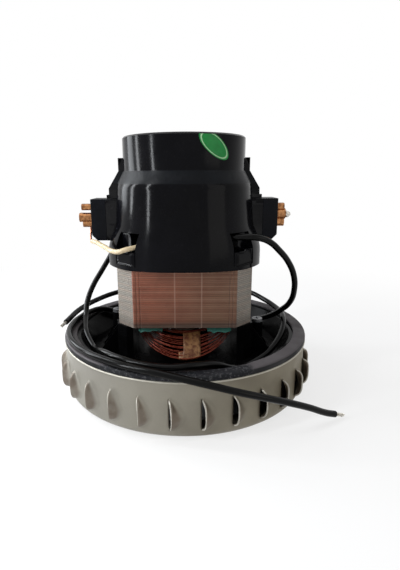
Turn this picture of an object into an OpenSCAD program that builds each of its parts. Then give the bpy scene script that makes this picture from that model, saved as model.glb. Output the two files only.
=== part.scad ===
// Vacuum motor unit: a universal motor on a single-stage suction fan.
// Millimetres. The origin is the centre of the fan housing's underside, +Z runs up the shaft,
// the front is towards -Y, and the carbon brushes lie along X.

/* [Fan housing] */
// Outside diameter of the steel fan housing
housing_d = 142; // [136:1:148]
// Height of the fan housing's side wall
housing_h = 30.5; // [29:0.5:34]
// Thickness of the housing's steel sheet
housing_wall = 0.8; // [0.6:0.1:1.2]
// Radius where the housing's side turns into its underside
housing_corner_r = 5; // [3:0.5:7]
// Width of the rolled bead at the housing's upper edge
bead_w = 0.6; // [0.3:0.1:1]
// Diameter of the air intake in the housing's underside
eye_d = 42; // [36:1:50]
// Height of the lip turned up round the air intake
eye_lip_h = 3; // [2:0.2:3.4]

/* [Exhaust louvres] */
// Number of exhaust louvres round the housing
louvre_count = 29; // [20:1:32]
// Height of each louvre's slit
louvre_h = 16; // [12:0.5:17]
// How far a louvre stands out of the housing wall
louvre_depth = 4; // [2.5:0.5:5]
// Height of the louvres' centre above the underside
louvre_z = 13.5; // [13:0.5:16]

/* [Seal ring] */
// How far the rubber seal ring stands out past the housing's side
seal_out = 0.5; // [0.3:0.1:3]
// Width of the rubber seal ring
seal_w = 7; // [5:0.5:8]
// Thickness of the seal above the bowl's rim
seal_t = 1.6; // [1:0.2:3]

/* [Lower bracket] */
// Depth from the bowl's rim down to its floor
bowl_depth = 10; // [8:0.5:11]
// Thickness of the bowl's floor
bowl_floor_t = 2; // [1.5:0.5:3]
// Width of the bowl's flat rim
bowl_rim_w = 6.6; // [5.5:0.1:7.5]
// Width of the slope between the bowl's rim and its floor
bowl_slope_w = 6.5; // [5:0.5:8]
// Thickness of the bowl's rim flange
rim_t = 1.5; // [1:0.1:2.5]
// Height of the stator's seats above the bowl's floor
leg_h = 20.5; // [18:0.5:24]
// Thickness of the legs' ribs
rib_t = 2; // [1.5:0.5:3]
// How far the legs' feet reach out past the stack
leg_reach = 12.5; // [10:0.5:15]
// Half the distance between a leg's outer ribs
leg_rib_y = 18.7; // [16:0.1:19.5]

/* [Stator] */
// Width of the lamination stack across its side flats
stator_w = 73; // [71:0.5:74]
// Depth of the lamination stack across its front and rear flats
stator_d = 66; // [64:0.5:67]
// Length of each chamfer, measured along a flat
stator_chamfer = 9.3; // [8:0.1:12]
// Height of the lamination stack
stator_h = 40; // [36:0.5:42]
// Diameter of the stator's bore
stator_bore_d = 40.4; // [40.2:0.1:41]
// Thickness of the pole tips between the bore and the winding slots
pole_t = 0.8; // [0.6:0.1:1.3]
// Width of the winding slots
slot_w = 7; // [6:0.1:7.4]
// Depth of the winding slots, from front to rear
slot_d = 17; // [16:0.5:17]
// Thickness of the slot liners' insulating paper
liner_t = 0.3; // [0.2:0.05:0.4]

/* [Field coils] */
// Diameter of the enamelled wire bundle drawn as one turn
wire_d = 0.7; // [0.6:0.05:0.7]
// Number of turns drawn in each field coil
coil_turns = 10; // [6:1:10]
// Distance between neighbouring turns in a slot
turn_pitch = 1.55; // [1.5:0.01:1.56]
// Outward step of each turn where it crosses the end of the stack
turn_step_y = 1.3; // [1.2:0.05:1.4]
// Endways step of each turn where it crosses the end of the stack
turn_step_z = 1.4; // [1.3:0.05:1.5]
// Width of the tape round each coil
tape_w = 8; // [6:0.5:8]

/* [Upper bracket] */
// Depth of the stack that the upper bracket's skirt covers
skirt_overlap = 8.2; // [6:0.2:12]
// Height of the upper bracket from its lower edge to the shoulder
barrel_h = 43.4; // [42:0.2:50]
// Diameter at the top of the barrel, under the shoulder
barrel_d = 75; // [72:0.5:78]
// Diameter across the skirt's corners
skirt_d = 92.4; // [92:0.2:98]
// Width of the skirt across its sides
skirt_w = 86; // [80:0.5:88]
// Height of the sloping shoulder
shoulder_h = 6.7; // [4:0.1:9]
// Diameter of the cooling air collar
collar_d = 68; // [64:0.5:70]
// Height of the cooling air collar
collar_h = 17.7; // [17:0.1:22]
// Wall thickness of the upper bracket
cap_wall = 2.2; // [1.8:0.1:2.2]
// Width of the lead windows at the skirt's corners
window_w = 15; // [12:0.5:16]
// Height of the lead windows
window_h = 16.7; // [14:0.1:18]
// Thickness of the side ribs above the brush holders
fin_t = 7; // [5:0.5:9]

/* [Rotor] */
// Diameter of the shaft
shaft_d = 8; // [7.8:0.1:8.2]
// Diameter of the armature
armature_d = 39.2; // [38:0.1:39.4]
// Number of armature slots
armature_slots = 12; // [8:1:14]
// Diameter of the commutator
commutator_d = 24; // [22:0.5:25]
// Length of the commutator
commutator_l = 15; // [13:0.5:16]
// Number of copper bars in the commutator
bar_count = 24; // [12:2:30]
// Number of blades on the cooling fan
fan_blades = 9; // [6:1:11]
// Diameter of the cooling fan
fan_d = 58; // [50:1:60]

/* [Impeller] */
// Gap between the impeller's edge and the housing's wall
impeller_gap = 8.2; // [6:0.2:14]
// Number of impeller vanes
vane_count = 8; // [6:1:10]
// Height of the impeller vanes
vane_h = 9; // [6:0.5:9]
// Thickness of the impeller's sheet
impeller_t = 1; // [0.8:0.1:1.2]

/* [Bearings] */
// Outside diameter of both bearings
bearing_d = 22; // [21:0.5:24]
// Width of both bearings
bearing_w = 7; // [6:0.5:8]
// Number of balls in each bearing
ball_count = 7; // [6:1:8]

/* [Brushes] */
// Height of the brush axis above the top of the stack
brush_rise = 17.5; // [16.5:0.5:19]
// Width of a carbon brush across the shaft
brush_w = 6.4; // [5:0.1:7]
// Height of a carbon brush along the shaft
brush_t = 11; // [9:0.5:11.5]
// Length of a carbon brush
brush_l = 24; // [18:0.5:26]
// Distance from the axis to the brush holders' outer faces
holder_reach = 52.2; // [50:0.1:56]
// Width of a brush holder from front to rear
holder_w = 17; // [14:0.5:20]
// Height of a brush holder
holder_h = 23; // [20:0.5:24]

/* [Leads] */
// Outside diameter of the black leads
lead_d = 3.4; // [3:0.1:3.6]
// Outside diameter of the pale inner lead
inner_lead_d = 2.6; // [2:0.1:3]

/* [Hidden] */
$fn = 64;
fit = 0.1;            // gap between pieces that are fitted together and stand still
run_gap = 0.06;       // radial gap of a fit that turns
slide_gap = 0.15;     // gap round a sliding brush
cut = 1;              // how far a cutting shape runs past what it cuts

// Heights, from the housing's underside upwards
housing_r = housing_d / 2;
housing_inner_r = housing_r - housing_wall;
eye_r = eye_d / 2;
rim_z = housing_h;
seal_z = rim_z + rim_t;
seal_top_z = seal_z + seal_t;
floor_z = seal_z - bowl_depth;
bowl_under_z = floor_z - bowl_floor_t;
stator_z = floor_z + leg_h;
stator_top_z = stator_z + stator_h;
skirt_z = stator_top_z - skirt_overlap;
shoulder_z = skirt_z + barrel_h;
collar_z = shoulder_z + shoulder_h;
top_z = collar_z + collar_h;
brush_z = stator_top_z + brush_rise;

louvre_root = 6;        // how far the louvre's dome reaches inwards from the wall's outside

// Seal and bowl
seal_r = housing_r + seal_out;
seal_hole_r = seal_r - seal_w;
seal_edge = 0.8;         // width of the bevel on the seal's outer edge
rim_r = housing_inner_r - fit;
spigot_t = 2;
leg_clear = 0.3;
spigot_h = 4;
bowl_rim_r = rim_r - bowl_rim_w;
bowl_floor_r = bowl_rim_r - bowl_slope_w;

// Bearings
bearing_r = bearing_d / 2;
shaft_r = shaft_d / 2;
ball_r = 2;
ball_pcd_r = (shaft_r + bearing_r) / 2;
washer_t = 0.5;
lower_seat_z = floor_z + 0.8;
lower_bearing_z = lower_seat_z + washer_t;
lower_bearing_top = lower_bearing_z + bearing_w;
boss_wall = 3.5;
boss_r = bearing_r + boss_wall;
boss_top_z = lower_bearing_top + 1;
upper_bearing_z = brush_z + commutator_l / 2 + 4.5;
upper_bearing_top = upper_bearing_z + bearing_w;
spider_t = 8;
spider_z = upper_bearing_top - spider_t + 2.4;

// Impeller stack under the bowl
spacer_r = 7;
disc_top_z = bowl_under_z - 4;
disc_z = disc_top_z - impeller_t;
vane_z = disc_z - vane_h;
front_disc_z = vane_z - impeller_t;
nut_h = 6;
nut_z = disc_z - impeller_t - nut_h;
shaft_low_z = nut_z - 2.5;
impeller_r = housing_inner_r - impeller_gap;
impeller_eye_r = eye_r + 1.2;
vane_t = 0.8;
vane_curve_r = 42;
vane_curve_x = 44;       // centre of a vane's curve
vane_curve_y = 34;
washer_r = 9;
nut_r = 7.5;

// Stator and coils
half_w = stator_w / 2;
half_d = stator_d / 2;
bore_r = stator_bore_d / 2;
slot_x = bore_r + pole_t;
slot_y = 3.5;
slot_mouth = 2;
bolt_r = 2;
bolt_x = half_w - 5.5;
bolt_y = half_d - 9.4;
wire_x = slot_x + slot_w / 2;
wire_y = slot_y + 0.7;
wire_out = 1;
end_y = 19.6;
end_z = 3.5;
drift_power = 2.5;      // the outward drift of an end turn starts slowly, so that turns keep apart
rings_per_turn = 24;
turn_end = 0.44;        // share of a turn that crosses one end of the stack
turn_slot = 0.06;       // share of a turn that runs along one slot
fine = 96;              // points per turn on which the gap between turns is measured
tape_x = 3;
tape_t = 0.4;
tape_slack = 0.9;
tape_shift = 1.2;
liner_out = 2;
liner_gap = 0.1;

// Upper bracket
barrel_r = barrel_d / 2;
collar_r = collar_d / 2;
skirt_r = skirt_d / 2;
front_bulge = 6.4;
front_curve_r = 100;
straight_h = 10;
flare_h = 11;
neck_out = 2.2;
rim_round = 0.8;
cavity_r = 35;
collar_bore_r = collar_r - cap_wall;
window_ring_r = 39.5;
window_bar = 2.2;
corner_seat = (half_w + half_d - stator_chamfer) / sqrt(2) + 0.3;
corner_wall = 0.9;
pocket_z = stator_top_z + 2;
passage_z = stator_top_z + 1.3;
passage_h = skirt_z + window_bar + window_h - passage_z;

// Armature
armature_r = armature_d / 2;
commutator_r = commutator_d / 2;
commutator_z = brush_z - commutator_l / 2;
hub_r = shaft_r + 3.6;
winding_r = armature_r - 3.2;
winding_h = 7.5;
sleeve_r = 6;
clip_t = 0.8;
fan_z = collar_z + 0.8;
fan_top_z = top_z - 4.5;
shaft_top_z = fan_top_z + clip_t + 0.4;

// Brush gear, worked out for the right side and turned half round for the left
tube_wall = 0.8;
tube_w = brush_w + 2 * slide_gap + 2 * tube_wall;
tube_h = brush_t + 2 * slide_gap + 2 * tube_wall;
tube_x = commutator_r + 4;
tube_end_x = holder_reach - 0.6;
pad_x = collar_r + 9.8;
holder_low_z = brush_z - 13.6;
brush_x = commutator_r + run_gap;
brush_back_x = commutator_r + brush_l;
spring_r = 2.6;
spring_wall = 0.9;
holder_chamfer = 3;
holder_hole = 6;
clip_plate_t = 0.8;
clip_plate_w = 7;
clip_low = 6.8;
clip_high = 6.6;
clip_fold_t = 1;
clip_slit = 0.6;
spring_gap = 0.3;

// Screw posts beside the stator
post_x = half_w + 6;
post_y = 10;
post_r = 3.4;
post_h = 16.5;
head_r = 3.1;
head_h = 1.8;

// Label on the collar
label_l = 19;
label_w = 8.4;
label_t = 0.15;
label_turn = 25.4;
label_tilt = 38;
label_z = collar_z + 11.6;

// Leads, as points along their middles

// Pale lead from the left terminal into the left window
inner_lead_points = [
    [-54.4, 0, 93.1], [-54.4, 0, 91.2], [-54, -3.5, 88], [-52.4, -8, 86], [-49.3, -11.2, 85.8],
    [-45.6, -17.4, 85.2], [-41.8, -23, 84.6], [-38.2, -28.5, 83.9], [-34, -31.9, 83.9],
    [-30.6, -33, 85], [-27.4, -32.5, 85.7], [-24.8, -31.6, 86.1], [-22.8, -30.2, 86.5]
];

// From the right window round the back of the bowl, along the left of the seal and off at the front
right_lead_points = [
    [24.5, -29.8, 90.6], [31.5, -31.9, 91.2], [38.3, -31.4, 90.6], [44.5, -28.5, 88],
    [50.5, -25, 82.8], [56.5, -20.5, 76], [61, -16.5, 67.5], [63, -12, 58], [62.8, -5, 48.5],
    [59.5, 4, 40.5], [54.5, 12.5, 34], [49, 20.5, 29.5], [42.5, 28, 26], [34, 35.5, 24.2],
    [23, 42, 24], [10, 46.4, 24], [-4, 47.2, 24], [-17, 45.2, 24], [-29, 41, 25],
    [-39.5, 36.5, 28], [-48, 32, 31.6], [-56, 26.5, 35], [-62.4, 18, 35.6], [-66, 8, 35.4],
    [-67.7, -3, 35.4], [-67.2, -14.5, 35.4], [-63.8, -26.5, 35.4], [-57.5, -38.4, 35.4],
    [-48.5, -49.3, 35.4], [-37.5, -58.5, 35.4], [-25.5, -65.8, 35.4], [-13, -71.3, 35.2],
    [0, -74.8, 33.6], [12, -76.3, 31.2], [24, -75.9, 27.8], [36, -72.8, 23.4],
    [48, -67.8, 18], [60, -62.2, 12], [71, -57, 5.8], [76, -54.8, 3.8]
];

// From the rear left window down into the bowl, round the seal and back past the stator's rear
left_lead_points = [
    [-24.5, 29.8, 89.8], [-31.5, 32.8, 90.4], [-38.5, 35, 88.6], [-44.5, 35, 81.5],
    [-49, 32, 71.5], [-54.5, 27.5, 62], [-60, 21.5, 52.5], [-62.8, 15, 44], [-62.4, 7, 37.4],
    [-60.8, -2, 34.6], [-58.4, -11.5, 32.6], [-54.4, -20, 30], [-50.2, -27.5, 28.8],
    [-47, -36, 31.6], [-41.6, -46, 34.6], [-33, -55.5, 35.6], [-21, -62.5, 35.4],
    [-8, -66.2, 35.4], [4, -64.4, 35.5], [14.5, -58.3, 33.2], [23, -50.5, 27.8],
    [31, -41.8, 24.2], [39, -33.8, 24.1], [46.6, -26.2, 25.6], [53.2, -18, 28.8],
    [58.2, -8.5, 32.3], [61.2, 2.5, 34.9], [62, 14, 36], [60.2, 26, 36.4], [55.5, 38, 37.6],
    [47.5, 49, 39.6], [36, 57.3, 40.6], [20, 62.6, 39.6], [0, 64.3, 38.2], [-20, 62.6, 39.4],
    [-37, 56.3, 40.8], [-49.5, 47.5, 40.4], [-60, 36, 39], [-68.6, 19.5, 37.3], [-72.6, -2.5, 35.6]
];

tip_l = 6.5;
tip_d = 2;

// Helpers

// A tube with flat ends, standing on height z
module ring(outer, inner, z, h) {
    translate([0, 0, z]) difference() {
        cylinder(r = outer, h = h);
        translate([0, 0, -cut]) cylinder(r = inner, h = h + 2 * cut);
    }
}

// A block centred on X and Y, standing on height z
module block(x, y, z, h) {
    translate([-x / 2, -y / 2, z]) cube([x, y, h]);
}

// Draws its children for the right side, and turned half round for the left
module right_side() children();
module left_side() rotate([0, 0, 180]) children();

// Vector helpers for the swept wires
function unit(v) = v / norm(v);
function ring_dir(p, i) =
    i == 0 ? unit(p[1] - p[0])
    : i == len(p) - 1 ? unit(p[i] - p[i - 1])
    : unit(unit(p[i + 1] - p[i]) + unit(p[i] - p[i - 1]));

// A normal carried along the route, so that the tube doesn't twist
function carry(n, t) = unit(n - (n * t) * t);
function normals(p, i = 0, n = [0, 0, 1], out = []) =
    i == len(p) ? out
    : let (t = ring_dir(p, i), m = carry(n, t)) normals(p, i + 1, m, concat(out, [m]));

// A closed tube of triangles along the points
module swept_tube(p, r, sides) {
    first = abs(unit(p[1] - p[0])[2]) > 0.9 ? [1, 0, 0] : [0, 0, 1];
    n = normals(p, 0, first);
    rings = len(p);
    pts = [for (i = [0 : rings - 1]) let (t = ring_dir(p, i), b = cross(t, n[i]))
        for (k = [0 : sides - 1]) let (a = 360 * k / sides) p[i] + r * (cos(a) * n[i] + sin(a) * b)];
    walls = [for (i = [0 : rings - 2]) for (k = [0 : sides - 1])
        let (a = i * sides + k, b = i * sides + (k + 1) % sides)
        each [[a, a + sides, b], [b, a + sides, b + sides]]];
    start_cap = [for (k = [1 : sides - 2]) [0, k, k + 1]];
    last = (rings - 1) * sides;
    end_cap = [for (k = [1 : sides - 2]) [last, last + k + 1, last + k]];
    polyhedron(points = pts, faces = concat(start_cap, walls, end_cap), convexity = 10);
}

// Fan housing

// Half of a shallow dome that stands out of the housing's side, made smaller by inset
module louvre_dome(inset) {
    dome_r = (pow(louvre_h / 2, 2) + pow(louvre_depth, 2)) / (2 * louvre_depth);
    intersection() {
        translate([housing_r + louvre_depth - dome_r, 0, louvre_z]) sphere(r = dome_r - inset);
        translate([housing_r - louvre_root, 0, 0])
            cube([louvre_root + louvre_depth + cut, louvre_h, housing_h]);
    }
}

module fan_housing() {
    color("#a39f95") difference() {
        union() {
            rotate_extrude($fn = 128) housing_profile();
            intersection() {
                for (i = [0 : louvre_count - 1])
                    rotate([0, 0, louvre_angle(i)]) louvre_dome(0);
                ring(housing_r + louvre_depth + cut, housing_r - housing_wall / 2, 0, housing_h);
            }
        }
        for (i = [0 : louvre_count - 1])
            rotate([0, 0, louvre_angle(i)])
                translate([0, -housing_wall, 0]) louvre_dome(housing_wall);
    }
}

function louvre_angle(i) = -90 + (i + 0.5) * 360 / louvre_count;

// Half section of the housing, from the intake lip out to the rolled bead
module housing_profile() {
    c = housing_corner_r;
    t = housing_wall;
    difference() {
        union() {
            translate([eye_r - t, 0]) square([housing_r - c - eye_r + t, housing_h]);
            translate([housing_r - c - cut, c]) square([c + cut, housing_h - c]);
            translate([housing_r - c, c]) circle(r = c);
            translate([housing_r, housing_h - bead_w]) circle(r = bead_w, $fn = 24);
        }
        translate([eye_r, t]) square([housing_inner_r - (c - t) - eye_r, housing_h]);
        translate([eye_r, c]) square([housing_inner_r - eye_r, housing_h]);
        translate([housing_r - c, c]) circle(r = c - t);
        translate([eye_r - t - cut, eye_lip_h]) square([housing_inner_r - eye_r, housing_h]);
        translate([housing_r - c, housing_h]) square([c + 2 * bead_w, c]);
    }
}

// Seal ring

module seal_ring() {
    color("#4a4546") rotate_extrude($fn = 128) difference() {
        translate([seal_hole_r, rim_z]) square([seal_w, seal_top_z - rim_z]);
        translate([0, rim_z - cut]) square([rim_r + fit, seal_z - rim_z + cut]);
        translate([seal_r, seal_top_z]) rotate(45) square(seal_edge * sqrt(2), center = true);
    }
}

// Lower bracket

module lower_bracket() {
    color("#17171a") difference() {
        union() {
            rotate_extrude($fn = 128) bowl_profile();
            for (side = [0, 180]) rotate([0, 0, side]) {
                leg();
                translate([post_x, -post_y, floor_z]) cylinder(r = post_r, h = post_h);
            }
        }
        translate([0, 0, lower_seat_z]) cylinder(r = bearing_r, h = leg_h);
        translate([0, 0, bowl_under_z - cut]) cylinder(r = spacer_r + 1.6, h = leg_h);
        for (x = [-bolt_x, bolt_x], y = [-bolt_y, bolt_y])
            translate([x, y, stator_z - 9]) cylinder(r = bolt_r + fit, h = 9 + cut);
        for (s = [1, -1]) translate([s * post_x, -s * post_y, floor_z + post_h - 8])
            cylinder(r = 1.5 + fit, h = 8 + cut);
    }
}

module bowl_profile() {
    polygon([
        [0, bowl_under_z], [bowl_floor_r, bowl_under_z], [bowl_rim_r, rim_z - 1.4],
        [rim_r - spigot_t, rim_z - 1.4], [rim_r - spigot_t, rim_z - spigot_h],
        [rim_r, rim_z - spigot_h], [rim_r, seal_z], [bowl_rim_r - 1, seal_z],
        [bowl_floor_r - 1, floor_z], [boss_r, floor_z], [boss_r, boss_top_z], [0, boss_top_z]
    ]);
}

// One leg on the +X side: four ribs, a sloping web and the stator's seat
module leg() {
    seat_x = slot_x + slot_w + leg_clear;
    edge_x = half_w + 2;
    foot_x = half_w + leg_reach;
    for (y = [-leg_rib_y, -post_y + 4, post_y - 4, leg_rib_y])
        translate([0, y + rib_t / 2, 0]) rotate([90, 0, 0]) linear_extrude(rib_t) polygon([
            [seat_x, floor_z - 0.5], [foot_x, floor_z - 0.5], [foot_x, floor_z + 2],
            [edge_x, stator_z - 4.3], [edge_x, stator_z], [seat_x, stator_z]
        ]);
    translate([0, leg_rib_y, 0]) rotate([90, 0, 0]) linear_extrude(2 * leg_rib_y) polygon([
        [foot_x - 6, floor_z - 0.5], [foot_x - 4, floor_z - 0.5],
        [edge_x - 1, stator_z - 6], [edge_x - 3, stator_z - 6]
    ]);
    translate([seat_x, -bolt_y - 4, floor_z - 0.5]) cube([rib_t, 2 * bolt_y + 8, leg_h + 0.5]);
    for (y = [-1, 1]) intersection() {
        translate([seat_x, y * bolt_y - 6, floor_z - 0.5]) cube([11, 12, leg_h + 0.5]);
        translate([0, 0, floor_z - 0.5]) linear_extrude(leg_h + 0.5) stator_outline(1);
    }
}

module wave_washer() {
    color("#b8b8ba") ring(bearing_r - 0.2, bearing_r - 2.4, lower_seat_z, washer_t);
}

// Stator

module stator_outline(grow = 0) {
    x = half_w + grow;
    y = half_d + grow;
    c = stator_chamfer + grow * 0.6;
    polygon([
        [x, y - c], [x - c, y], [c - x, y], [-x, y - c],
        [-x, c - y], [c - x, -y], [x - c, -y], [x, c - y]
    ]);
}

module stator_core() {
    color("#9a8d80") translate([0, 0, stator_z]) difference() {
        linear_extrude(stator_h) stator_outline();
        translate([0, 0, -cut]) cylinder(r = bore_r, h = stator_h + 2 * cut, $fn = 96);
        for (mx = [0, 1], my = [0, 1]) mirror([mx, 0, 0]) mirror([0, my, 0])
            translate([0, 0, -cut]) linear_extrude(stator_h + 2 * cut) {
                translate([slot_x, slot_y]) square([slot_w, slot_d]);
                translate([slot_x - 4, slot_y]) square([5, slot_mouth]);
            }
        for (x = [-bolt_x, bolt_x], y = [-bolt_y, bolt_y])
            translate([x, y, -cut]) cylinder(r = bolt_r + fit, h = stator_h + 2 * cut);
        for (side = [0, 180]) rotate([0, 0, side]) stator_grooves();
    }
}

// Shallow grooves down the front face where the laminations are interlocked
module stator_grooves() {
    for (x = [2.6 - stator_w / 2 + stator_chamfer, stator_w / 2 - stator_chamfer - 2.6])
        for (shift = [-0.9, 0.9])
            translate([x + shift - 0.3, -half_d - cut, -cut]) cube([0.6, cut + 0.3, stator_h + 2 * cut]);
}

module stator_bolts() {
    color("#b9bbbd") for (x = [-bolt_x, bolt_x], y = [-bolt_y, bolt_y]) translate([x, y, 0]) {
        translate([0, 0, stator_z - 8]) cylinder(r = bolt_r, h = stator_h + 8);
        translate([0, 0, stator_top_z]) cylinder(r = 3, h = 1.2);
    }
}

module slot_liners() {
    g = liner_gap;
    color("#3f8f80") for (mx = [0, 1], my = [0, 1]) mirror([mx, 0, 0]) mirror([0, my, 0])
        translate([slot_x + g, slot_y + slot_mouth + g, stator_z - liner_out])
            linear_extrude(stator_h + 2 * liner_out) difference() {
                square([slot_w - 2 * g, slot_d - slot_mouth - 2 * g]);
                translate([liner_t, -cut])
                    square([slot_w - 2 * g - 2 * liner_t, slot_d - slot_mouth - 2 * g - liner_t + cut]);
            }
}

// Field coils: each is one unbroken wire that runs up and down two slots and crosses both ends

// A point of the wire after u turns, for the coil round the front pole
function coil_point(u) =
    let (
        f = u - floor(u),
        upper = f >= 0.5,
        g = upper ? f - 0.5 : f,
        side = upper ? 1 : -1,
        y = -(wire_y + turn_pitch * u),
        low = stator_z - wire_out,
        high = stator_top_z + wire_out,
        base = upper ? high : low,
        reach = wire_out / 2 + end_z + turn_step_z * u
    )
    g < turn_end
    ? let (a = 180 * g / turn_end, s = sin(a))
        [side * wire_x * cos(a), y + (-(end_y + turn_step_y * u) - y) * pow(s, drift_power),
            base + side * (reach - wire_out) * s]
    : let (k = (g - turn_end) / turn_slot)
        [-side * wire_x, y, base - side * (high - low) * k];

coil_route = [for (i = [0 : coil_turns * rings_per_turn - 1]) coil_point(i / rings_per_turn)];

// Least distance between the wire's surface and itself, more than half a turn apart along it
fine_route = [for (i = [0 : coil_turns * fine - 1]) coil_point(i / fine)];
coil_gap = min([for (i = [0 : 2 : len(fine_route) - 1])
    min([1000, for (j = [i + fine / 2 : min(i + 3 * fine / 2, len(fine_route) - 1)])
        norm(fine_route[i] - fine_route[j])])]) - wire_d;
echo(least_gap_between_turns = coil_gap);

module field_coil() {
    color("#8a3a26") swept_tube(coil_route, wire_d / 2, 6);
}

// Tape wrapped round the lower end turns
module coil_tape() {
    n = coil_turns;
    near = [-end_y, stator_z - wire_out / 2 - end_z];
    step = [-turn_step_y, -turn_step_z];
    far = near + (n - 0.75) * step;
    near_turn = near + 0.25 * step;
    slope = atan2(step[1], step[0]);
    across = wire_d / 2 + 0.25;
    inside_y = norm(far - near_turn) + 2 * across + tape_shift;
    inside_z = 2 * across + tape_slack;
    color("#b98a52") translate([tape_x - tape_w / 2, near_turn[0], near_turn[1]])
        rotate([slope, 0, 0]) translate([0, -across - tape_shift, -across]) difference() {
            translate([0, -tape_t, -tape_t])
                cube([tape_w, inside_y + 2 * tape_t, inside_z + 2 * tape_t]);
            translate([-cut, 0, 0]) cube([tape_w + 2 * cut, inside_y, inside_z]);
        }
}

// Upper bracket

// The skirt's outline: two long shallow arcs front and rear, flat sides and round corners
module skirt_outline(inset) {
    intersection() {
        circle(r = skirt_r - inset, $fn = 96);
        square([skirt_w - 2 * inset, 2 * skirt_r], center = true);
        for_arc(inset);
    }
}

module for_arc(inset) {
    intersection() {
        translate([0, front_curve_r - half_d - front_bulge])
            circle(r = front_curve_r - inset, $fn = 192);
        translate([0, -front_curve_r + half_d + front_bulge])
            circle(r = front_curve_r - inset, $fn = 192);
    }
}

module cap_outside() {
    intersection() {
        translate([0, 0, skirt_z]) linear_extrude(barrel_h + shoulder_h + cut) skirt_outline(0);
        rotate_extrude($fn = 128) polygon([
            [0, skirt_z], [skirt_r, skirt_z], [skirt_r, skirt_z + straight_h],
            [barrel_r + neck_out, skirt_z + straight_h + flare_h], [barrel_r + 0.5, shoulder_z - 2],
            [barrel_r, shoulder_z], [collar_r, collar_z], [collar_r - 1, collar_z + cut],
            [0, collar_z + cut]
        ]);
    }
    rotate_extrude($fn = 128) polygon([
        [0, collar_z - 0.5], [collar_r, collar_z - 0.5], [collar_r, top_z - rim_round],
        [collar_r - rim_round, top_z], [0, top_z]
    ]);
    for (side = [0, 180]) rotate([0, 0, side]) {
        fin();
        translate([collar_r + 1, -holder_w / 2, holder_low_z])
            cube([pad_x - collar_r - 1, holder_w, holder_h]);
    }
}

// Rib beside the collar that runs down to the brush holder, for the +X side
module fin() {
    translate([0, fin_t / 2, 0]) rotate([90, 0, 0]) linear_extrude(fin_t) polygon([
        [collar_r - 1.5, collar_z + 7], [collar_r + 2.6, collar_z + 7], [collar_r + 2.6, collar_z],
        [pad_x - 1.4, shoulder_z - 2.7], [pad_x - 1.4, shoulder_z - 6.2],
        [pad_x, shoulder_z - 6.2], [pad_x, brush_z], [collar_r + 1, brush_z]
    ]);
}

module cap_inside() {
    translate([0, 0, skirt_z - cut]) linear_extrude(skirt_overlap + cut) intersection() {
        skirt_outline(cap_wall);
        rotate(45) square(2 * corner_seat, center = true);
    }
    rotate_extrude($fn = 128) polygon([
        [0, stator_top_z - 0.5], [cavity_r, stator_top_z - 0.5], [cavity_r, shoulder_z - 4],
        [collar_bore_r, collar_z], [collar_bore_r, top_z + cut], [0, top_z + cut]
    ]);
}

module upper_bracket() {
    color("#141418") difference() {
        union() {
            difference() {
                cap_outside();
                cap_inside();
                for (mx = [0, 1], my = [0, 1])
                    mirror([mx, 0, 0]) mirror([0, my, 0]) rotate([0, 0, 45]) lead_window();
                for (side = [0, 180]) rotate([0, 0, side]) holder_opening();
            }
            for (a = [0 : 90 : 270]) rotate([0, 0, a]) spider_arm();
            translate([0, 0, spider_z]) cylinder(r = boss_r, h = spider_t);
        }
        translate([0, 0, spider_z - cut])
            cylinder(r = bearing_r, h = upper_bearing_top - spider_z + cut);
        translate([0, 0, spider_z - cut]) cylinder(r = sleeve_r + 1, h = spider_t + 2 * cut);
        for (x = [-bolt_x, bolt_x], y = [-bolt_y, bolt_y])
            translate([x, y, stator_top_z - cut]) cylinder(r = 3 + fit, h = 1.2 + fit + cut);
    }
}

module spider_arm() {
    translate([boss_r - 1, -2.5, spider_z]) cube([cavity_r - boss_r + 2, 5, spider_t - 2]);
}

// Pocket at one corner, shallow over the stack's corner and deep above it, with a lead passage
// on the side towards the middle of the bracket
module lead_window() {
    translate([corner_seat + corner_wall, -window_w / 2, skirt_z + window_bar])
        cube([skirt_r, window_w, window_h]);
    translate([window_ring_r, -window_w / 2, pocket_z])
        cube([skirt_r, window_w, skirt_z + window_bar + window_h - pocket_z]);
    translate([cavity_r - 3, 0, passage_z]) cube([skirt_r, window_w / 2, passage_h]);
}

// Opening in the barrel wall that the brush tube passes through
module holder_opening() {
    translate([cavity_r - 5, -tube_w / 2 - fit, brush_z - tube_h / 2 - fit])
        cube([skirt_r, tube_w + 2 * fit, tube_h + 2 * fit]);
}

module bracket_screws() {
    color("#c9c9cc") for (s = [1, -1])
        translate([s * post_x, -s * post_y, floor_z + post_h]) difference() {
            union() {
                translate([0, 0, -8 + fit]) cylinder(r = 1.5, h = 8);
                cylinder(r = head_r, h = head_h);
            }
            for (a = [0, 90]) rotate([0, 0, a]) block(3.6, 0.8, head_h - 0.9, 2);
        }
}

// Brush gear for the +X side

module brush_holder() {
    c = holder_chamfer;
    color("#1a1a1d") difference() {
        translate([0, holder_w / 2, 0]) rotate([90, 0, 0]) linear_extrude(holder_w) polygon([
            [pad_x, holder_low_z], [holder_reach - c, holder_low_z],
            [holder_reach, holder_low_z + c], [holder_reach, holder_low_z + holder_h],
            [pad_x, holder_low_z + holder_h]
        ]);
        translate([0, -tube_w / 2 - fit, brush_z - tube_h / 2 - fit])
            cube([tube_end_x, tube_w + 2 * fit, tube_h + 2 * fit]);
        translate([0, -holder_hole / 2, brush_z - holder_hole / 2])
            cube([holder_reach + cut, holder_hole, holder_hole]);
    }
}

module brush_tube() {
    color("#b8743a") translate([tube_x, 0, brush_z]) difference() {
        translate([0, -tube_w / 2, -tube_h / 2]) cube([tube_end_x - tube_x, tube_w, tube_h]);
        translate([-cut, -tube_w / 2 + tube_wall, -tube_h / 2 + tube_wall])
            cube([tube_end_x - tube_x + cut - tube_wall, tube_w - 2 * tube_wall, tube_h - 2 * tube_wall]);
    }
}

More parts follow.
